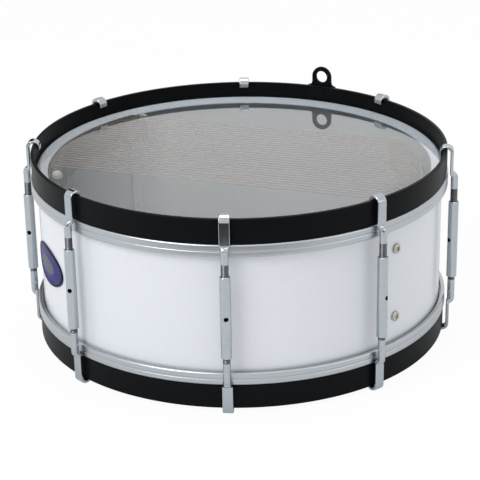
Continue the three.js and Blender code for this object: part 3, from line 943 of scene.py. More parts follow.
@dataclass
class Heads(SubAssembly):
    """The clear films, drawn over the bearing edges and tucked into the flesh hoops."""

    film: float = 0.3
    seat_gap: float = 0.3
    edge_round: float = 3.2

    def section(self) -> Profile:
        """Section of a film: flat, over the bearing edge, down outside the shell and out into its hem."""
        lv = self.levels
        under = lv.head_top - self.film
        inner = lv.shell_radius + self.seat_gap
        outer = inner + self.film
        centre = (inner - self.edge_round, under - self.edge_round)
        over = arc(centre, self.edge_round + self.film, 90, 0, 10)
        back = arc(centre, self.edge_round, 0, 90, 10)
        hem_top = lv.hem_low + self.film
        return [
            (0, lv.head_top), *over, (outer, hem_top), (lv.hem_outer, hem_top),
            (lv.hem_outer, lv.hem_low), (inner, lv.hem_low), *back, (0, under),
        ]

    def build(self) -> None:
        """Turn the top film and turn a copy over for the bottom."""
        upper = self.bench.turned("clear_head_above", self.section())
        lower = self.bench.flipped(upper, "clear_head_below", self.levels.middle)
        for film, node in ((upper, "top_head_film"), (lower, "bottom_head_film")):
            self.bench.smooth(film)
            self.fit(film, Slot.CLEAR_FILM, node)


@dataclass
class HookRods(SubAssembly):
    """The eight pairs of hook rods and the tube nuts that draw them together."""

    names: tuple[str, ...] = ("front", "front_right", "right", "rear_right",
                              "rear", "rear_left", "left", "front_left")
    hole_azimuths: tuple[float, ...] = (9, 58, -51, 20, 65, -40, -13, -12)
    strip_width: float = 8.9
    strip_thickness: float = 2.7
    strip_round: float = 0.7
    lip_length: float = 2.4
    lip_round: float = 0.5
    bend_inner: float = 3.4
    bend_flatness: float = math.cos(math.pi / 10)
    bend_steps: int = 20
    flat_ends: tuple[float, float] = (20.2, 21.5)
    taper: float = 4.5
    shank: float = 6.4
    joggle: float = 0.7
    pit_below: float = 4.2
    pit_size: float = 2.6
    pit_depth: float = 0.8
    pit_sides: int = 24
    blend_cuts: int = 5
    thread_drops: tuple[float, float] = (35.0, 44.6)
    thread_pitch: float = 1.0
    thread_depth: float = 0.42
    nut_diameter: float = 8.96
    nut_chamfer: float = 0.8
    nut_bore: float = 7.0
    nut_hole: float = 4.0
    nut_sides: int = 48
    smooth_angle: float = 40.0

    def strip_outline(self) -> Profile:
        """Outline of the strip across its width and thickness, with rounded corners."""
        wide = self.strip_width / 2 - self.strip_round
        thick = self.strip_thickness / 2 - self.strip_round
        outline: Profile = []
        corners = ((wide, thick), (-wide, thick), (-wide, -thick), (wide, -thick))
        sides = ((0, self.strip_thickness / 2), (-self.strip_width / 2, 0),
                 (0, -self.strip_thickness / 2), (self.strip_width / 2, 0))
        for i, (corner, side) in enumerate(zip(corners, sides)):
            outline += [*arc(corner, self.strip_round, 90 * i, 90 * i + 90, 4), side]
        return outline

    def forged(self, rod_radius: float, flat_end: float, thread_drop: float) -> bpy.types.Object:
        """Model one upper hook rod at the front: lip, bend, flat leg, taper, shank and thread.

        Args:
            rod_radius: Distance from the drum's axis to the shank's.
            flat_end: How far below the hoop's edge the strip ends.
            thread_drop: How far below the hoop's edge the thread starts.

        Returns:
            The rod, not yet turned to its place.
        """
        bench, lv = self.bench, self.levels
        leg_inner = rod_radius - self.shank / 2 - self.joggle
        bend_centre = leg_inner - self.bend_inner
        bend_outer = self.bend_inner + self.strip_thickness
        bend_z = lv.hook_top - bend_outer * self.bend_flatness
        lip_y = self.bend_inner + self.strip_thickness / 2 - bend_centre
        inside = Vector((0, lip_y, bend_z - self.lip_length))
        outline = self.strip_outline()
        rod = bench.wire("hook_rod", [inside + Vector((x, y, 0)) for x, y in outline])
        bpy.ops.mesh.edge_face_add()
        self.round_lip(inside)
        hinge = (0, -bend_centre, bend_z)
        bpy.ops.mesh.spin(steps=self.bend_steps, angle=-math.pi, center=Vector(hinge) * MM, axis=(1, 0, 0))
        flat_z, thread_z = lv.hoop_top - flat_end, lv.hoop_top - thread_drop
        bench.pull((0, 0, flat_z - bend_z))
        bpy.ops.mesh.delete(type="ONLY_FACE")
        bench.choose(rod, lambda p: p.z > bend_z + self.strip_round / 10)
        bench.scale((1, 1, self.bend_flatness), hinge)
        self.draw_shank(rod, rod_radius, flat_z, thread_z)
        bench.close()
        self.strike_pit(rod, rod_radius, flat_z)
        rod.data.materials.append(self.shop.by_slot[Slot.ROD_CHROME])
        rod.data.materials.append(self.shop.thread_painted_shade)
        # The thread's faces take the darker finish, whose colour paints in the shade of its grooves.
        for face in rod.data.polygons:
            face.material_index = 1 if face.center.z < thread_z * MM else 0
        return rod

    def round_lip(self, inside: Vector) -> None:
        """Draw the selected end face in, and pull the strip up from it over a rounded edge.

        Args:
            inside: Centre of the lip's end.
        """
        half = Vector((self.strip_width / 2, self.strip_thickness / 2))
        slack, height = 0.0, 0.0
        for turn in (0, math.pi / 6, math.pi / 3, math.pi / 2):
            inset = self.lip_round * (1 - math.sin(turn))
            rise = self.lip_round * (1 - math.cos(turn)) - height
            if rise:
                self.bench.pull((0, 0, rise))
            height += rise
            factors = [(side - inset) / (side - slack) for side in half]
            self.bench.scale((*factors, 1), inside)
            slack = inset
        self.bench.pull((0, 0, self.lip_length - height))

    def strike_pit(self, rod: bpy.types.Object, rod_radius: float, flat_z: float) -> None:
        """Sink the small round pit where the strip runs out into the shank.

        Args:
            rod: The rod.
            rod_radius: Distance from the drum's axis to the shank's.
            flat_z: Height at which the strip ends.
        """
        self.bench.rest()
        out = rod_radius + self.shank / 2 + self.pit_size / 2 - self.pit_depth
        place = Vector((0, -out, flat_z - self.pit_below))
        bpy.ops.mesh.primitive_uv_sphere_add(segments=self.pit_sides, ring_count=self.pit_sides // 2,
                                             radius=self.pit_size / 2 * MM, location=place * MM)
        bpy.ops.object.transform_apply(location=True, rotation=True, scale=True)
        self.bench.drill(rod, bpy.context.active_object)

    def draw_shank(self, rod: bpy.types.Object, rod_radius: float, flat_z: float, thread_z: float) -> None:
        """Bridge the open end of the strip to a round shank and cut its thread.

        Args:
            rod: The strip in edit mode, open at its lower end.
            rod_radius: Distance from the drum's axis to the shank's.
            flat_z: Height at which the strip ends.
            thread_z: Height at which the thread starts.
        """
        bench, lv = self.bench, self.levels
        axis = (0, -rod_radius, 0)
        round_z = flat_z - self.taper
        bpy.ops.mesh.primitive_circle_add(vertices=len(self.strip_outline()), radius=self.shank / 2 * MM,
                                          location=Vector((0, -rod_radius, round_z)) * MM)
        near = self.strip_round / 10
        bench.choose(rod, lambda p: p.z < flat_z + near)
        bpy.ops.mesh.bridge_edge_loops(number_cuts=self.blend_cuts, interpolation="PATH")
        bench.choose(rod, lambda p: p.z < round_z + near)
        bench.pull((0, 0, thread_z - round_z))
        core = 1 - 2 * self.thread_depth / self.shank
        turns = int((thread_z - lv.shank_end) / self.thread_pitch - 1 / 2)
        for _ in range(turns):
            for factor in (core, 1 / core):
                bench.pull((0, 0, -self.thread_pitch / 2))
                bench.scale((factor, factor, 1), axis)
        bench.pull((0, 0, lv.shank_end - thread_z + turns * self.thread_pitch))
        bench.scale((core, core, 1), axis)
        bpy.ops.mesh.edge_face_add()

    def tube(self) -> bpy.types.Object:
        """Turn one tube nut about its own axis and drill its cross hole.

        Returns:
            The nut, centred on the vertical axis at the drum's middle.
        """
        outer, bore, half = self.nut_diameter / 2, self.nut_bore / 2, self.levels.nut_length / 2
        ease = self.nut_chamfer / 4
        upper = [(outer, half - self.nut_chamfer), (outer - ease, half - self.nut_chamfer / 2),
                 (outer - self.nut_chamfer, half), (bore + ease, half), (bore, half - ease)]
        lower = [(r, -z) for r, z in reversed(upper)]
        section = [(r, self.levels.middle + z) for r, z in [*upper, *lower]]
        nut = self.bench.turned("tube_nut", section, self.nut_sides)
        level = self.levels.middle
        cutter = self.bench.rod(self.nut_hole, (0, -self.nut_diameter, level), (0, self.nut_diameter, level))
        self.bench.drill(nut, cutter)
        return nut

    def build(self) -> None:
        """Place a pair of rods and a nut wherever the frame has them."""
        bench = self.bench
        low, high = node_box("front_tube_nut")
        rod_radius = ((low + high) / 2).xy.length
        upper, pattern = (self.forged(rod_radius, *drops) for drops in zip(self.flat_ends, self.thread_drops))
        lower = bench.flipped(pattern, "hook_rod_below", self.levels.middle)
        nut = self.tube()
        for piece in (upper, lower, nut):
            bench.smooth(piece, self.smooth_angle)
        for name, hole in zip(self.names, self.hole_azimuths):
            low, high = node_box(f"{name}_tube_nut")
            centre = (low + high) / 2
            azimuth = azimuth_of(centre)
            for rod, side in ((upper, "upper"), (lower, "lower")):
                made = bench.copy(rod, f"{name}_rod_{side}")
                bench.place(made, azimuth)
                self.fit(made, Slot.ROD_CHROME, f"{name}_{side}_hook", f"{name}_{side}")
            made = bench.copy(nut, f"{name}_nut_tube")
            bench.place(made, hole - azimuth)
            bench.place(made, azimuth, (0, -rod_radius, centre.z - self.levels.middle))
            self.fit(made, Slot.ROD_CHROME, f"{name}_tube_nut", f"{name}_nut")
        for piece in (upper, lower, pattern, nut):
            bpy.data.objects.remove(piece, do_unlink=True)


@dataclass
class StrapEar(SubAssembly):
    """The flat ear for the strap, with a flared foot riveted to the outside of the top hoop."""

    azimuth: float = 158.2
    width: float = 19.5
    thickness: float = 2.6
    hole: float = 11.2
    hole_height: float = 8.8
    foot_width: float = 28.0
    foot_depth: float = 16.0
    fillet: float = 4.6
    flare_steps: int = 8
    seat_gap: float = 0.3
    edge: float = 0.5
    rivet: float = 5.0
    rivet_height: float = 1.1
    rivet_spread: float = 16.0
    eye_sides: int = 48

    def build(self) -> None:
        """Cut the plate, drill its eye, round its edges and set its two rivets."""
        bench, lv = self.bench, self.levels
        half, foot = self.width / 2, self.foot_width / 2
        back = -(lv.hoop_outer + self.seat_gap)
        right = [(foot, -self.foot_depth), (foot, 0), *self.flare(half, foot)]
        left = [(-x, z) for x, z in reversed(right)]
        outline = [*right, *arc((0, self.hole_height), half, 0, 180, 28), *left]
        plate = bench.prism("strap_ear_plate", [(x, back, lv.hoop_top + z) for x, z in outline],
                            (0, -self.thickness, 0))
        eye = lv.hoop_top + self.hole_height
        ends = ((0, back + self.thickness, eye), (0, back - 2 * self.thickness, eye))
        bench.drill(plate, bench.rod(self.hole, *ends, self.eye_sides))
        bench.soften(plate, self.edge)
        bench.smooth(plate)
        bench.place(plate, self.azimuth)
        self.fit(plate, Slot.BLACK_ENAMEL, "strap_ear")
        level = lv.hoop_top - self.foot_depth / 2
        face, apart = back - self.thickness, self.rivet_spread / 2
        spots = [(self.azimuth, (side * apart, face, level)) for side in (-1, 1)]
        rivets = self.studs("strap_ear_rivets", self.rivet, self.rivet_height, spots)
        self.fit(rivets, Slot.BLACK_ENAMEL)

    def flare(self, half: float, foot: float) -> Profile:
        """Points of the curve from the foot's top edge into the ear's side."""
        points = []
        for i in range(self.flare_steps + 1):
            t = i / self.flare_steps
            x = (1 - t) ** 2 * foot + 2 * t * (1 - t) * half + t ** 2 * half
            points.append((x, t ** 2 * self.fillet))
        return points[1:]


@dataclass
class Badge(SubAssembly):
    """The oval badge on the shell: navy rim, raised line, violet field and a bare oval in its middle."""

    width: float = 70.0
    height: float = 34.0
    thickness: float = 0.9
    seat_gap: float = 0.3
    corner: float = 0.3
    rim_width: float = 2.8
    line_width: float = 0.5
    line_rise: float = 0.2
    field_sink: float = 0.25
    middle_share: float = 0.56
    middle_rise: float = 0.15
    bands: int = 6
    sides: int = 128

    def build(self) -> None:
        """Model the oval flat, ring by ring, bend it round the shell and turn it to its place."""
        bench = self.bench
        low, high = node_box("badge")
        centre = (low + high) / 2
        azimuth = azimuth_of(centre)
        half = [self.width / 2, self.height / 2]
        bench.rest()
        bpy.ops.mesh.primitive_circle_add(vertices=self.sides, radius=1, fill_type="NGON",
                                          rotation=(math.pi / 2, 0, 0), calc_uvs=False)
        bpy.ops.object.transform_apply(location=True, rotation=True, scale=True)
        badge = bench.name("oval_badge")
        bench.edit()
        bench.scale((half[0] * MM, 1, half[1] * MM))
        bench.pull((0, self.corner - self.thickness, 0))
        self.step_in(half, self.corner, -self.corner)
        rim = self.step_in(half, self.rim_width, 0)
        self.step_in(half, self.corner / 2, -self.line_rise)
        line = self.step_in(half, self.line_width, 0)
        self.step_in(half, self.corner / 2, self.line_rise + self.field_sink)
        violet = self.divide(half, self.middle_share)
        self.step_in(half, self.corner / 2, -self.middle_rise)
        self.divide(half, 1 / self.bands)
        bench.choose(badge, lambda p: p.y > -self.corner / 2)
        self.divide([self.width / 2, self.height / 2], 1 / self.bands)
        bench.close()
        inner = self.levels.shell_radius + self.seat_gap
        bench.apply(badge, "SIMPLE_DEFORM", deform_method="BEND", deform_axis="Z", angle=self.width / inner)
        shop = self.shop
        for material in (shop.by_slot[Slot.BADGE_ENAMEL], shop.badge_metal, shop.badge_field):
            badge.data.materials.append(material)
        for face in badge.data.polygons:
            place = face.center / MM
            ovals = (rim, line, violet)
            inside = [math.hypot(place.x / across, place.z / tall) < 1 for across, tall in ovals]
            face.material_index = (0, 1, 2, 1)[sum(inside)]
        bench.smooth(badge)
        bench.place(badge, azimuth, (0, -inner, centre.z))
        self.fit(badge, Slot.BADGE_ENAMEL, "badge")

    def step_in(self, half: list[float], inset: float, depth: float) -> tuple[float, ...]:
        """Extrude the selected face, draw its edge in evenly, and move it.

        Args:
            half: Half width and half height of the face, which this updates.
            inset: How far the edge moves in.
            depth: How far the face moves along +Y.

        Returns:
            The new half width and half height.
        """
        across, tall = ((side - inset) / side for side in half)
        self.bench.pull((0, depth, 0))
        self.bench.scale((across, 1, tall))
        half[:] = [side - inset for side in half]
        return tuple(half)

    def divide(self, half: list[float], share: float) -> tuple[float, ...]:
        """Divide the selected oval face into rings of one shape, so that it bends evenly.

        Args:
            half: Half width and half height of the face, which this updates.
            share: Size of the innermost oval as a share of the face.

        Returns:
            The new half width and half height.
        """
        sizes = [1 - (1 - share) * i / self.bands for i in range(self.bands + 1)]
        for size, smaller in zip(sizes, sizes[1:]):
            self.bench.pull((0, 0, 0))
            self.bench.scale((smaller / size, 1, smaller / size))
        half[:] = [side * share for side in half]
        return tuple(half)


@dataclass(frozen=True)
class Rail:
    """One rail of the inner snare: the way it faces, its middle radius and its width."""

    side: str
    facing: float
    hand: int
    radius: float
    width: float

    def azimuth(self, across: float, radius: float) -> float:
        """Azimuth of a place across the band at a radius."""
        return self.facing + self.hand * math.degrees(math.asin(across / radius))


@dataclass(frozen=True)
class Band:
    """Where the snare's cord lies, and the two rails that carry it."""

    start: float = -63.0
    end: float = 85.0
    strands: int = 27
    cord: float = 1.4
    leg: float = 12.0
    past_end: float = 5.0
    gap: float = 0.3
    rails: tuple[Rail, Rail] = (Rail("right", 75.5, 1, 150.0, 14.0), Rail("left", 255.5, -1, 160.0, 10.0))

    @property
    def pitch(self) -> float:
        """Distance from one strand to the next."""
        return (self.end - self.start) / (self.strands - 1)

    def bend(self, rail: Rail) -> float:
        """Radius of the cord's middle line where it turns down over a rail."""
        return rail.width / 2 + self.gap + self.cord / 2


@dataclass
class SnareCord(SubAssembly):
    """The snare: one cord laced to and fro over both rails, under the top head."""

    band: Band = Band()
    bend_steps: int = 9
    turn_steps: int = 12
    resolution: int = 3
    smooth_angle: float = 60.0

    def over(self, rail: Rail, across: float) -> list[Point]:
        """Points of a strand's end, from the top of a rail down its outer side.

        Args:
            rail: The rail.
            across: The strand's place across the band.

        Returns:
            The points, with X along the strands.
        """
        level, bend = self.levels.shell_top - self.band.cord / 2, self.band.bend(rail)
        points = []
        for i in range(self.bend_steps + 1):
            turn = math.pi / 2 * i / self.bend_steps
            along = math.sqrt((rail.radius + bend * math.sin(turn)) ** 2 - across ** 2)
            points.append((rail.hand * along, across, level - bend * (1 - math.cos(turn))))
        return points

    def under(self, rail: Rail, across: float) -> list[Point]:
        """Points of the loop below a rail, from one strand's leg to the next one's."""
        bend, half = self.band.bend(rail), self.band.pitch / 2
        level = self.levels.shell_top - self.band.cord / 2 - bend - self.band.leg
        points = []
        for i in range(self.turn_steps + 1):
            turn = math.pi * i / self.turn_steps
            place = across + half * (1 - math.cos(turn))
            along = math.sqrt((rail.radius + bend) ** 2 - place ** 2)
            points.append((rail.hand * along, place, level - half * math.sin(turn)))
        return points

    def route(self) -> list[Point]:
        """The cord's whole way, with X along the strands."""
        band = self.band
        right, left = band.rails
        route: list[Point] = []
        for i in range(band.strands):
            across = band.start + i * band.pitch
            come, go = (left, right) if i % 2 == 0 else (right, left)
            route += [*reversed(self.over(come, across)), *self.over(go, across)]
            if i + 1 < band.strands:
                route += self.under(go, across)
        first, last = (Vector(route[i]) - Vector((0, 0, band.leg)) for i in (0, -1))
        return [tuple(first), *route, tuple(last)]

    def build(self) -> None:
        """Draw the route, give it the cord's thickness and turn it to the band's direction."""
        bench = self.bench
        cord = bench.wire("laced_snare_cord", self.route())
        bpy.ops.object.mode_set(mode="OBJECT")
        bpy.ops.object.convert(target="CURVE")
        cord = bench.name("laced_snare_cord")
        cord.data.bevel_depth = self.band.cord / 2 * MM
        cord.data.bevel_resolution = self.resolution
        cord.data.use_fill_caps = True
        bpy.ops.object.convert(target="MESH")
        cord = bench.name("laced_snare_cord")
        bench.smooth(cord, self.smooth_angle)
        bench.place(cord, self.band.rails[0].facing - 90)
        self.fit(cord, Slot.SNARE_CORD, "snare_cord")


@dataclass
class SnareRails(SubAssembly):
    """The two rails of the inner snare, and the strips that hold the cord's legs to them."""

    band: Band = Band()
    rail_edge: float = 0.8
    end_edge: float = 0.4
    end_angle: float = 60.0
    clamp_thickness: float = 1.2
    clamp_height: float = 7.0
    clamp_drop: float = 3.0
    clamp_edge: float = 0.25
    screw: float = 3.8
    screw_height: float = 1.3
    strands_per_screw: int = 3
    steps: int = 40

    def carry(self, name: str, section: Profile, rail: Rail, radius: float) -> bpy.types.Object:
        """Carry a section along the band on one side, a little past the outer strands."""
        start = rail.azimuth(self.band.start - self.band.past_end, radius)
        end = rail.azimuth(self.band.end + self.band.past_end, radius)
        return self.bench.swept(name, section, start, end, self.steps)

    def lay_rail(self, rail: Rail) -> None:
        """Model a rail: flat sides, eased lower edges and a round top."""
        low, high = node_box(f"{rail.side}_rail")
        inner, outer, ease = rail.radius - rail.width / 2, rail.radius + rail.width / 2, self.rail_edge
        section = [
            *arc((inner + ease, low.z + ease), ease, 180, 270, 4),
            *arc((outer - ease, low.z + ease), ease, 270, 360, 4),
            *arc((rail.radius, high.z - rail.width / 2), rail.width / 2, 0, 180, 24),
        ]
        bar = self.carry(f"{rail.side}_snare_rail", section, rail, rail.radius)
        self.bench.soften(bar, self.end_edge, 2, self.end_angle)
        self.bench.smooth(bar)
        # The rail's dark finish is painted shade for the gaps between the strands that lie over it.
        self.fit(bar, Slot.RAIL_PLASTIC, f"{rail.side}_rail")

    def clamp(self, rail: Rail) -> None:
        """Model the strip outside the cord's legs and the small screws that draw it to the rail."""
        band, ease = self.band, self.clamp_edge
        inner = rail.radius + band.bend(rail) + band.cord / 2 + band.gap
        outer = inner + self.clamp_thickness
        top = self.levels.shell_top - band.cord / 2 - band.bend(rail) - self.clamp_drop
        low = top - self.clamp_height
        section = [
            *arc((inner + ease, low + ease), ease, 180, 270, 2),
            *arc((outer - ease, low + ease), ease, 270, 360, 2),
            *arc((outer - ease, top - ease), ease, 0, 90, 2),
            *arc((inner + ease, top - ease), ease, 90, 180, 2),
        ]
        strip = self.carry(f"{rail.side}_cord_clamp", section, rail, inner)
        self.bench.smooth(strip)
        self.fit(strip, Slot.INNER_STEEL, f"{rail.side}_clamp_strip")
        gaps = range(0, band.strands - 1, self.strands_per_screw)
        between = [band.start + (i + 1 / 2) * band.pitch for i in gaps]
        spots = [(rail.azimuth(across, outer), (0, -outer, (low + top) / 2)) for across in between]
        screws = self.studs(f"{rail.side}_clamp_screws", self.screw, self.screw_height, spots)
        self.fit(screws, Slot.INNER_STEEL)

    def build(self) -> None:
        """Model both rails and their strips."""
        for rail in self.band.rails:
            self.lay_rail(rail)
            self.clamp(rail)


@dataclass
class SnareBrackets(SubAssembly):
    """The angle brackets under the rails, the screws in the right pair and the posts on the left pair."""

    band: Band = Band()
    width: float = 13.0
    thickness: float = 3.0
    fillet: float = 4.0
    wall: float = 175.6
    edge: float = 0.35
    inset: float = 3.66
    post: float = 9.2
    post_edge: float = 0.5
    hole: float = 4.6
    head: float = 8.4
    head_height: float = 2.4
    head_side: float = 1.08
    shank: float = 4.0
    length: float = 6.5
    recess: float = 1.1
    recess_length: float = 4.4
    recess_depth: float = 1.1
    turns: tuple[float, ...] = (24.0, 71.0, 8.0, 47.0)
    rivet: float = 5.0
    rivet_height: float = 1.2
    cap_side_share: float = 0.4
    round_sides: int = 40

    def azimuths(self, rail: Rail) -> tuple[float, float]:
        """Azimuths of the front and the rear bracket of a rail."""
        past = self.band.past_end
        out = past - self.inset if rail.hand > 0 else past + self.band.gap + self.post / 2
        ends = (self.band.start - out, self.band.end + out)
        return tuple(rail.azimuth(end, rail.radius) for end in ends)

    def screw_heights(self) -> list[float]:
        """Heights of the upper and the lower screw."""
        boxes = (node_box(f"bracket_screw_front_{level}") for level in ("upper", "lower"))
        return [(low.z + high.z) / 2 for low, high in boxes]

    def screw_places(self) -> list[Vector]:
        """Places of all the screws on the shell's wall."""
        azimuths = self.azimuths(self.band.rails[0])
        return [around(self.wall, azimuth, z) for azimuth in azimuths for z in self.screw_heights()]

    def bracket(self, rail: Rail, place: str, azimuth: float) -> None:
        """Model one bracket: an arm under the rail, a round bend and a plate down the wall.

        Args:
            rail: The rail that it carries.
            place: Which end of the rail it carries.
            azimuth: Where it stands.
        """
        bench, wall, thick = self.bench, self.wall, self.thickness
        low, high = node_box(f"{rail.side}_bracket_{place}")
        tip, turn = rail.radius - rail.width / 2, self.fillet + thick / 2
        section = [
            (tip, high.z), (tip, high.z - thick),
            *arc((wall - thick - self.fillet, high.z - thick - self.fillet), self.fillet, 90, 0, 7),
            (wall - thick, low.z), (wall, low.z),
            *arc((wall - turn, high.z - turn), turn, 0, 90, 8),
        ]
        plate = bench.prism(f"{rail.side}_angle_bracket_{place}",
                            [(-self.width / 2, -r, z) for r, z in section], (self.width, 0, 0))
        for height in self.screw_heights() if rail.hand > 0 else ():
            ends = ((0, 2 * thick - wall, height), (0, -wall - thick, height))
            bench.drill(plate, bench.rod(self.hole, *ends))
        bench.soften(plate, self.edge, 2)
        bench.smooth(plate)
        bench.place(plate, azimuth)
        self.fit(plate, Slot.INNER_STEEL, f"{rail.side}_bracket_{place}")

    def pan_screw(self) -> bpy.types.Object:
        """Turn a pan-head screw that looks up, with a cross recess."""
        bench = self.bench
        radius, height = self.head / 2, self.head_height
        head = dome(radius, self.head_side, height, self.dome_steps)
        shank = [(0, -self.length), (self.shank / 2, -self.length), (self.shank / 2, 0)]
        screw = bench.turned("pan_screw", [*shank, (radius, 0), *head], self.round_sides)
        for long, short in ((self.recess_length, self.recess), (self.recess, self.recess_length)):
            bench.rest()
            bpy.ops.mesh.primitive_cube_add(size=MM, location=(0, 0, height * MM))
            bpy.context.object.scale = (long, short, 2 * self.recess_depth)
            bpy.ops.object.transform_apply(location=True, rotation=True, scale=True)
            bench.drill(screw, bench.name("cutter"))
        bench.smooth(screw)
        return screw

    def set_screws(self, azimuths: tuple[float, float]) -> None:
        """Set the four screws of the right pair, each turned its own way."""
        bench, pattern = self.bench, self.pan_screw()
        seat = self.levels.shell_radius + self.band.gap
        turns = iter(self.turns)
        for azimuth, place in zip(azimuths, ("front", "rear")):
            for height, level in zip(self.screw_heights(), ("upper", "lower")):
                screw = bench.copy(pattern, f"pan_screw_{place}_{level}")
                bench.place(screw, next(turns))
                bench.tilt(screw)
                bench.place(screw, azimuth, (0, -seat, height))
                self.fit(screw, Slot.SCREW_NICKEL, f"bracket_screw_{place}_{level}")
        bpy.data.objects.remove(pattern, do_unlink=True)

    def set_posts(self, rail: Rail, azimuths: tuple[float, float]) -> None:
        """Set the rubber posts beside the left rail's ends, with their cream caps."""
        bench, radius, ease = self.bench, self.post / 2, self.post_edge
        for azimuth, place in zip(azimuths, ("front", "rear")):
            low, high = node_box(f"left_post_{place}")
            section = [(0, low.z), *arc((radius - ease, low.z + ease), ease, 270, 360, 3),
                       *arc((radius - ease, high.z - ease), ease, 0, 90, 3), (0, high.z)]
            post = bench.turned(f"rubber_post_{place}", section, self.round_sides)
            low, high = node_box(f"left_post_cap_{place}")
            side = low.z + (high.z - low.z) * self.cap_side_share
            section = [(0, low.z), (radius, low.z), *dome(radius, side, high.z, self.dome_steps)]
            cap = bench.turned(f"domed_cap_{place}", section, self.round_sides)
            kinds = ((post, Slot.POST_RUBBER, "left_post"), (cap, Slot.CAP_CREAM, "left_post_cap"))
            for piece, slot, node in kinds:
                bench.smooth(piece, self.dome_angle)
                bench.place(piece, azimuth, (0, -rail.radius, 0))
                self.fit(piece, slot, f"{node}_{place}")

    def build(self) -> None:
        """Model the brackets of both rails and what is fixed to them."""
        right, left = self.band.rails
        for rail in (right, left):
            for azimuth, place in zip(self.azimuths(rail), ("front", "rear")):
                self.bracket(rail, place, azimuth)
        self.set_screws(self.azimuths(right))
        self.set_posts(left, self.azimuths(left))
        inside = self.thickness - self.wall
        spots = [(azimuth, (0, inside, z)) for azimuth in self.azimuths(left) for z in self.screw_heights()]
        rivets = self.studs("left_bracket_rivets", self.rivet, self.rivet_height, spots, outwards=False)
        self.fit(rivets, Slot.INNER_STEEL)


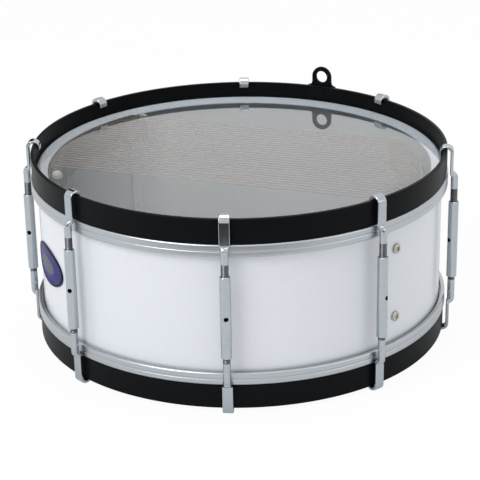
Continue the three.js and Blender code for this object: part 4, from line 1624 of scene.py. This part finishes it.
@dataclass
class Studio:
    """The camera at the photograph's angle, the lamps, the floor, the flags and the white surroundings.

    Attributes:
        flags: Name, middle, size, tilt in degrees and fade of each flag.
        lamps: Name, place, side and watts of each lamp.
    """

    bench: Bench
    levels: Levels
    azimuth: float = 4.5
    elevation: float = 22.4265
    roll: float = -1.0736
    distance: float = 1511.0
    lens: float = 126.14
    sensor: float = 36.0
    target_side: float = -0.67
    target_drop: float = 92.4
    ambient: float = 0.5
    floor_size: float = 9000.0
    flags: tuple[tuple[str, Point, tuple[float, float], float, tuple[float, float]], ...] = (
        ("front_flag", (0, -980, 2), (1400, 900), 0, (0, 0)),
        ("rear_left_flag", (-1100, 2500, 1400), (1740, 2400), 90, (-370, -630)),
    )
    lamps: tuple[tuple[str, Point, float, float], ...] = (
        ("key_softbox", (-900, -1100, 1500), 900, 17),
        ("top_softbox", (200, 300, 1900), 1400, 14),
        ("fill_softbox", (1400, -700, 700), 900, 1.5),
    )
    paper: PaperFinish = PaperFinish("studio_paper", "F0F0F0", "F6F6F6", (0.8, 0.9), 0.0, even(1.5),
                                     shares=(0.95, 0.2, 0.6))
    cloth: ClothFinish = ClothFinish("studio_flag_cloth", "181512", "221E1A", (0.8, 0.9), 0.1, even(2.0))

    def add_camera(self) -> None:
        """Place the camera where the photograph was taken from."""
        turn, rise, roll = (math.radians(v) for v in (self.azimuth, self.elevation, self.roll))
        back = Vector((math.sin(turn) * math.cos(rise), -math.cos(turn) * math.cos(rise), math.sin(rise)))
        right = Vector((math.cos(turn), math.sin(turn), 0))
        up = back.cross(right)
        across = right * math.cos(roll) + up * math.sin(roll)
        tilted = (across, up * math.cos(roll) - right * math.sin(roll), back)
        target = right * self.target_side + Vector((0, 0, self.levels.hoop_top - self.target_drop))
        place = (target + back * self.distance) * MM
        bpy.ops.object.camera_add(location=place, rotation=Matrix(tilted).transposed().to_euler())
        camera = self.bench.name("photo_camera")
        camera.data.lens = self.lens
        camera.data.sensor_width = self.sensor
        bpy.context.scene.camera = camera

    def add_lamp(self, name: str, place: Point, size: float, watts: float) -> None:
        """Add a square soft lamp that looks at the drum.

        Args:
            name: Name of the lamp.
            place: Where it hangs.
            size: Length of its side.
            watts: Its power.
        """
        aim = Vector((0, 0, self.levels.middle)) - Vector(place)
        bpy.ops.object.light_add(type="AREA", location=Vector(place) * MM,
                                 rotation=aim.to_track_quat("-Z", "Y").to_euler())
        lamp = self.bench.name(name)
        lamp.data.shape = "SQUARE"
        lamp.data.size = size * MM
        lamp.data.energy = watts

    def add_panel(self, name: str, middle: Point, size: tuple[float, float], tilt: float,
                  finish: Finish) -> bpy.types.Object:
        """Add a flat panel that belongs to the studio.

        Args:
            name: Name of the panel.
            middle: Where its middle is.
            size: Its breadth along X, and its depth or height.
            tilt: How far it is turned up from level, in degrees.
            finish: Its finish.

        Returns:
            The panel.
        """
        bpy.ops.mesh.primitive_plane_add(size=MM, location=Vector(middle) * MM,
                                         rotation=(math.radians(tilt), 0, 0))
        panel = self.bench.name(name)
        panel.scale = (*size, 1)
        bpy.ops.object.transform_apply(location=True, rotation=True, scale=True)
        panel.data.materials.append(finish.material())
        return panel

    def add_flags(self) -> None:
        """Hang the dark cloths that only show in the drum's metal and gloss."""
        for name, middle, size, tilt, fade in self.flags:
            flag = self.add_panel(name, middle, size, tilt, replace(self.cloth, fade=fade))
            flag.visible_camera = False
            flag.visible_diffuse = False
            flag.visible_transmission = False
            flag.visible_shadow = False

    def light_world(self) -> None:
        """White surroundings to the eye, to metal and through glass, and dimmer ones as a light."""
        world = bpy.data.worlds.new("studio_world")
        bpy.context.scene.world = world
        world.use_nodes = True
        tree = world.node_tree
        tree.nodes.clear()
        strength = by_ray(tree, self.ambient, (1.0, 1.0, 1.0))
        inputs = {"Color": (1, 1, 1, 1), "Strength": strength}
        surface = add_node(tree, "ShaderNodeBackground", inputs).outputs["Background"]
        add_node(tree, "ShaderNodeOutputWorld", {"Surface": surface})

    def build(self) -> None:
        """Set the whole studio up."""
        self.bench.rest()
        self.light_world()
        self.add_panel("studio_floor", (0, 0, 0), (self.floor_size, self.floor_size), 0, self.paper)
        self.add_flags()
        for lamp in self.lamps:
            self.add_lamp(*lamp)
        bpy.context.scene.view_settings.view_transform = "Standard"


def main() -> None:
    """Set the camera, build the drum's sub-assemblies in order, then the rest of the studio."""
    logging.basicConfig(level=logging.INFO, format="%(name)s: %(message)s")
    bench, shop, levels = Bench(), PaintShop(), Levels.read()
    studio = Studio(bench, levels)
    studio.add_camera()
    brackets = SnareBrackets(bench, shop, levels)
    Shell(bench, shop, levels).build(brackets.screw_places())
    for kind in (Hoops, Heads, HookRods, StrapEar, Badge, SnareCord, SnareRails):
        kind(bench, shop, levels).build()
    brackets.build()
    studio.build()


if __name__ == "__main__":
    main()
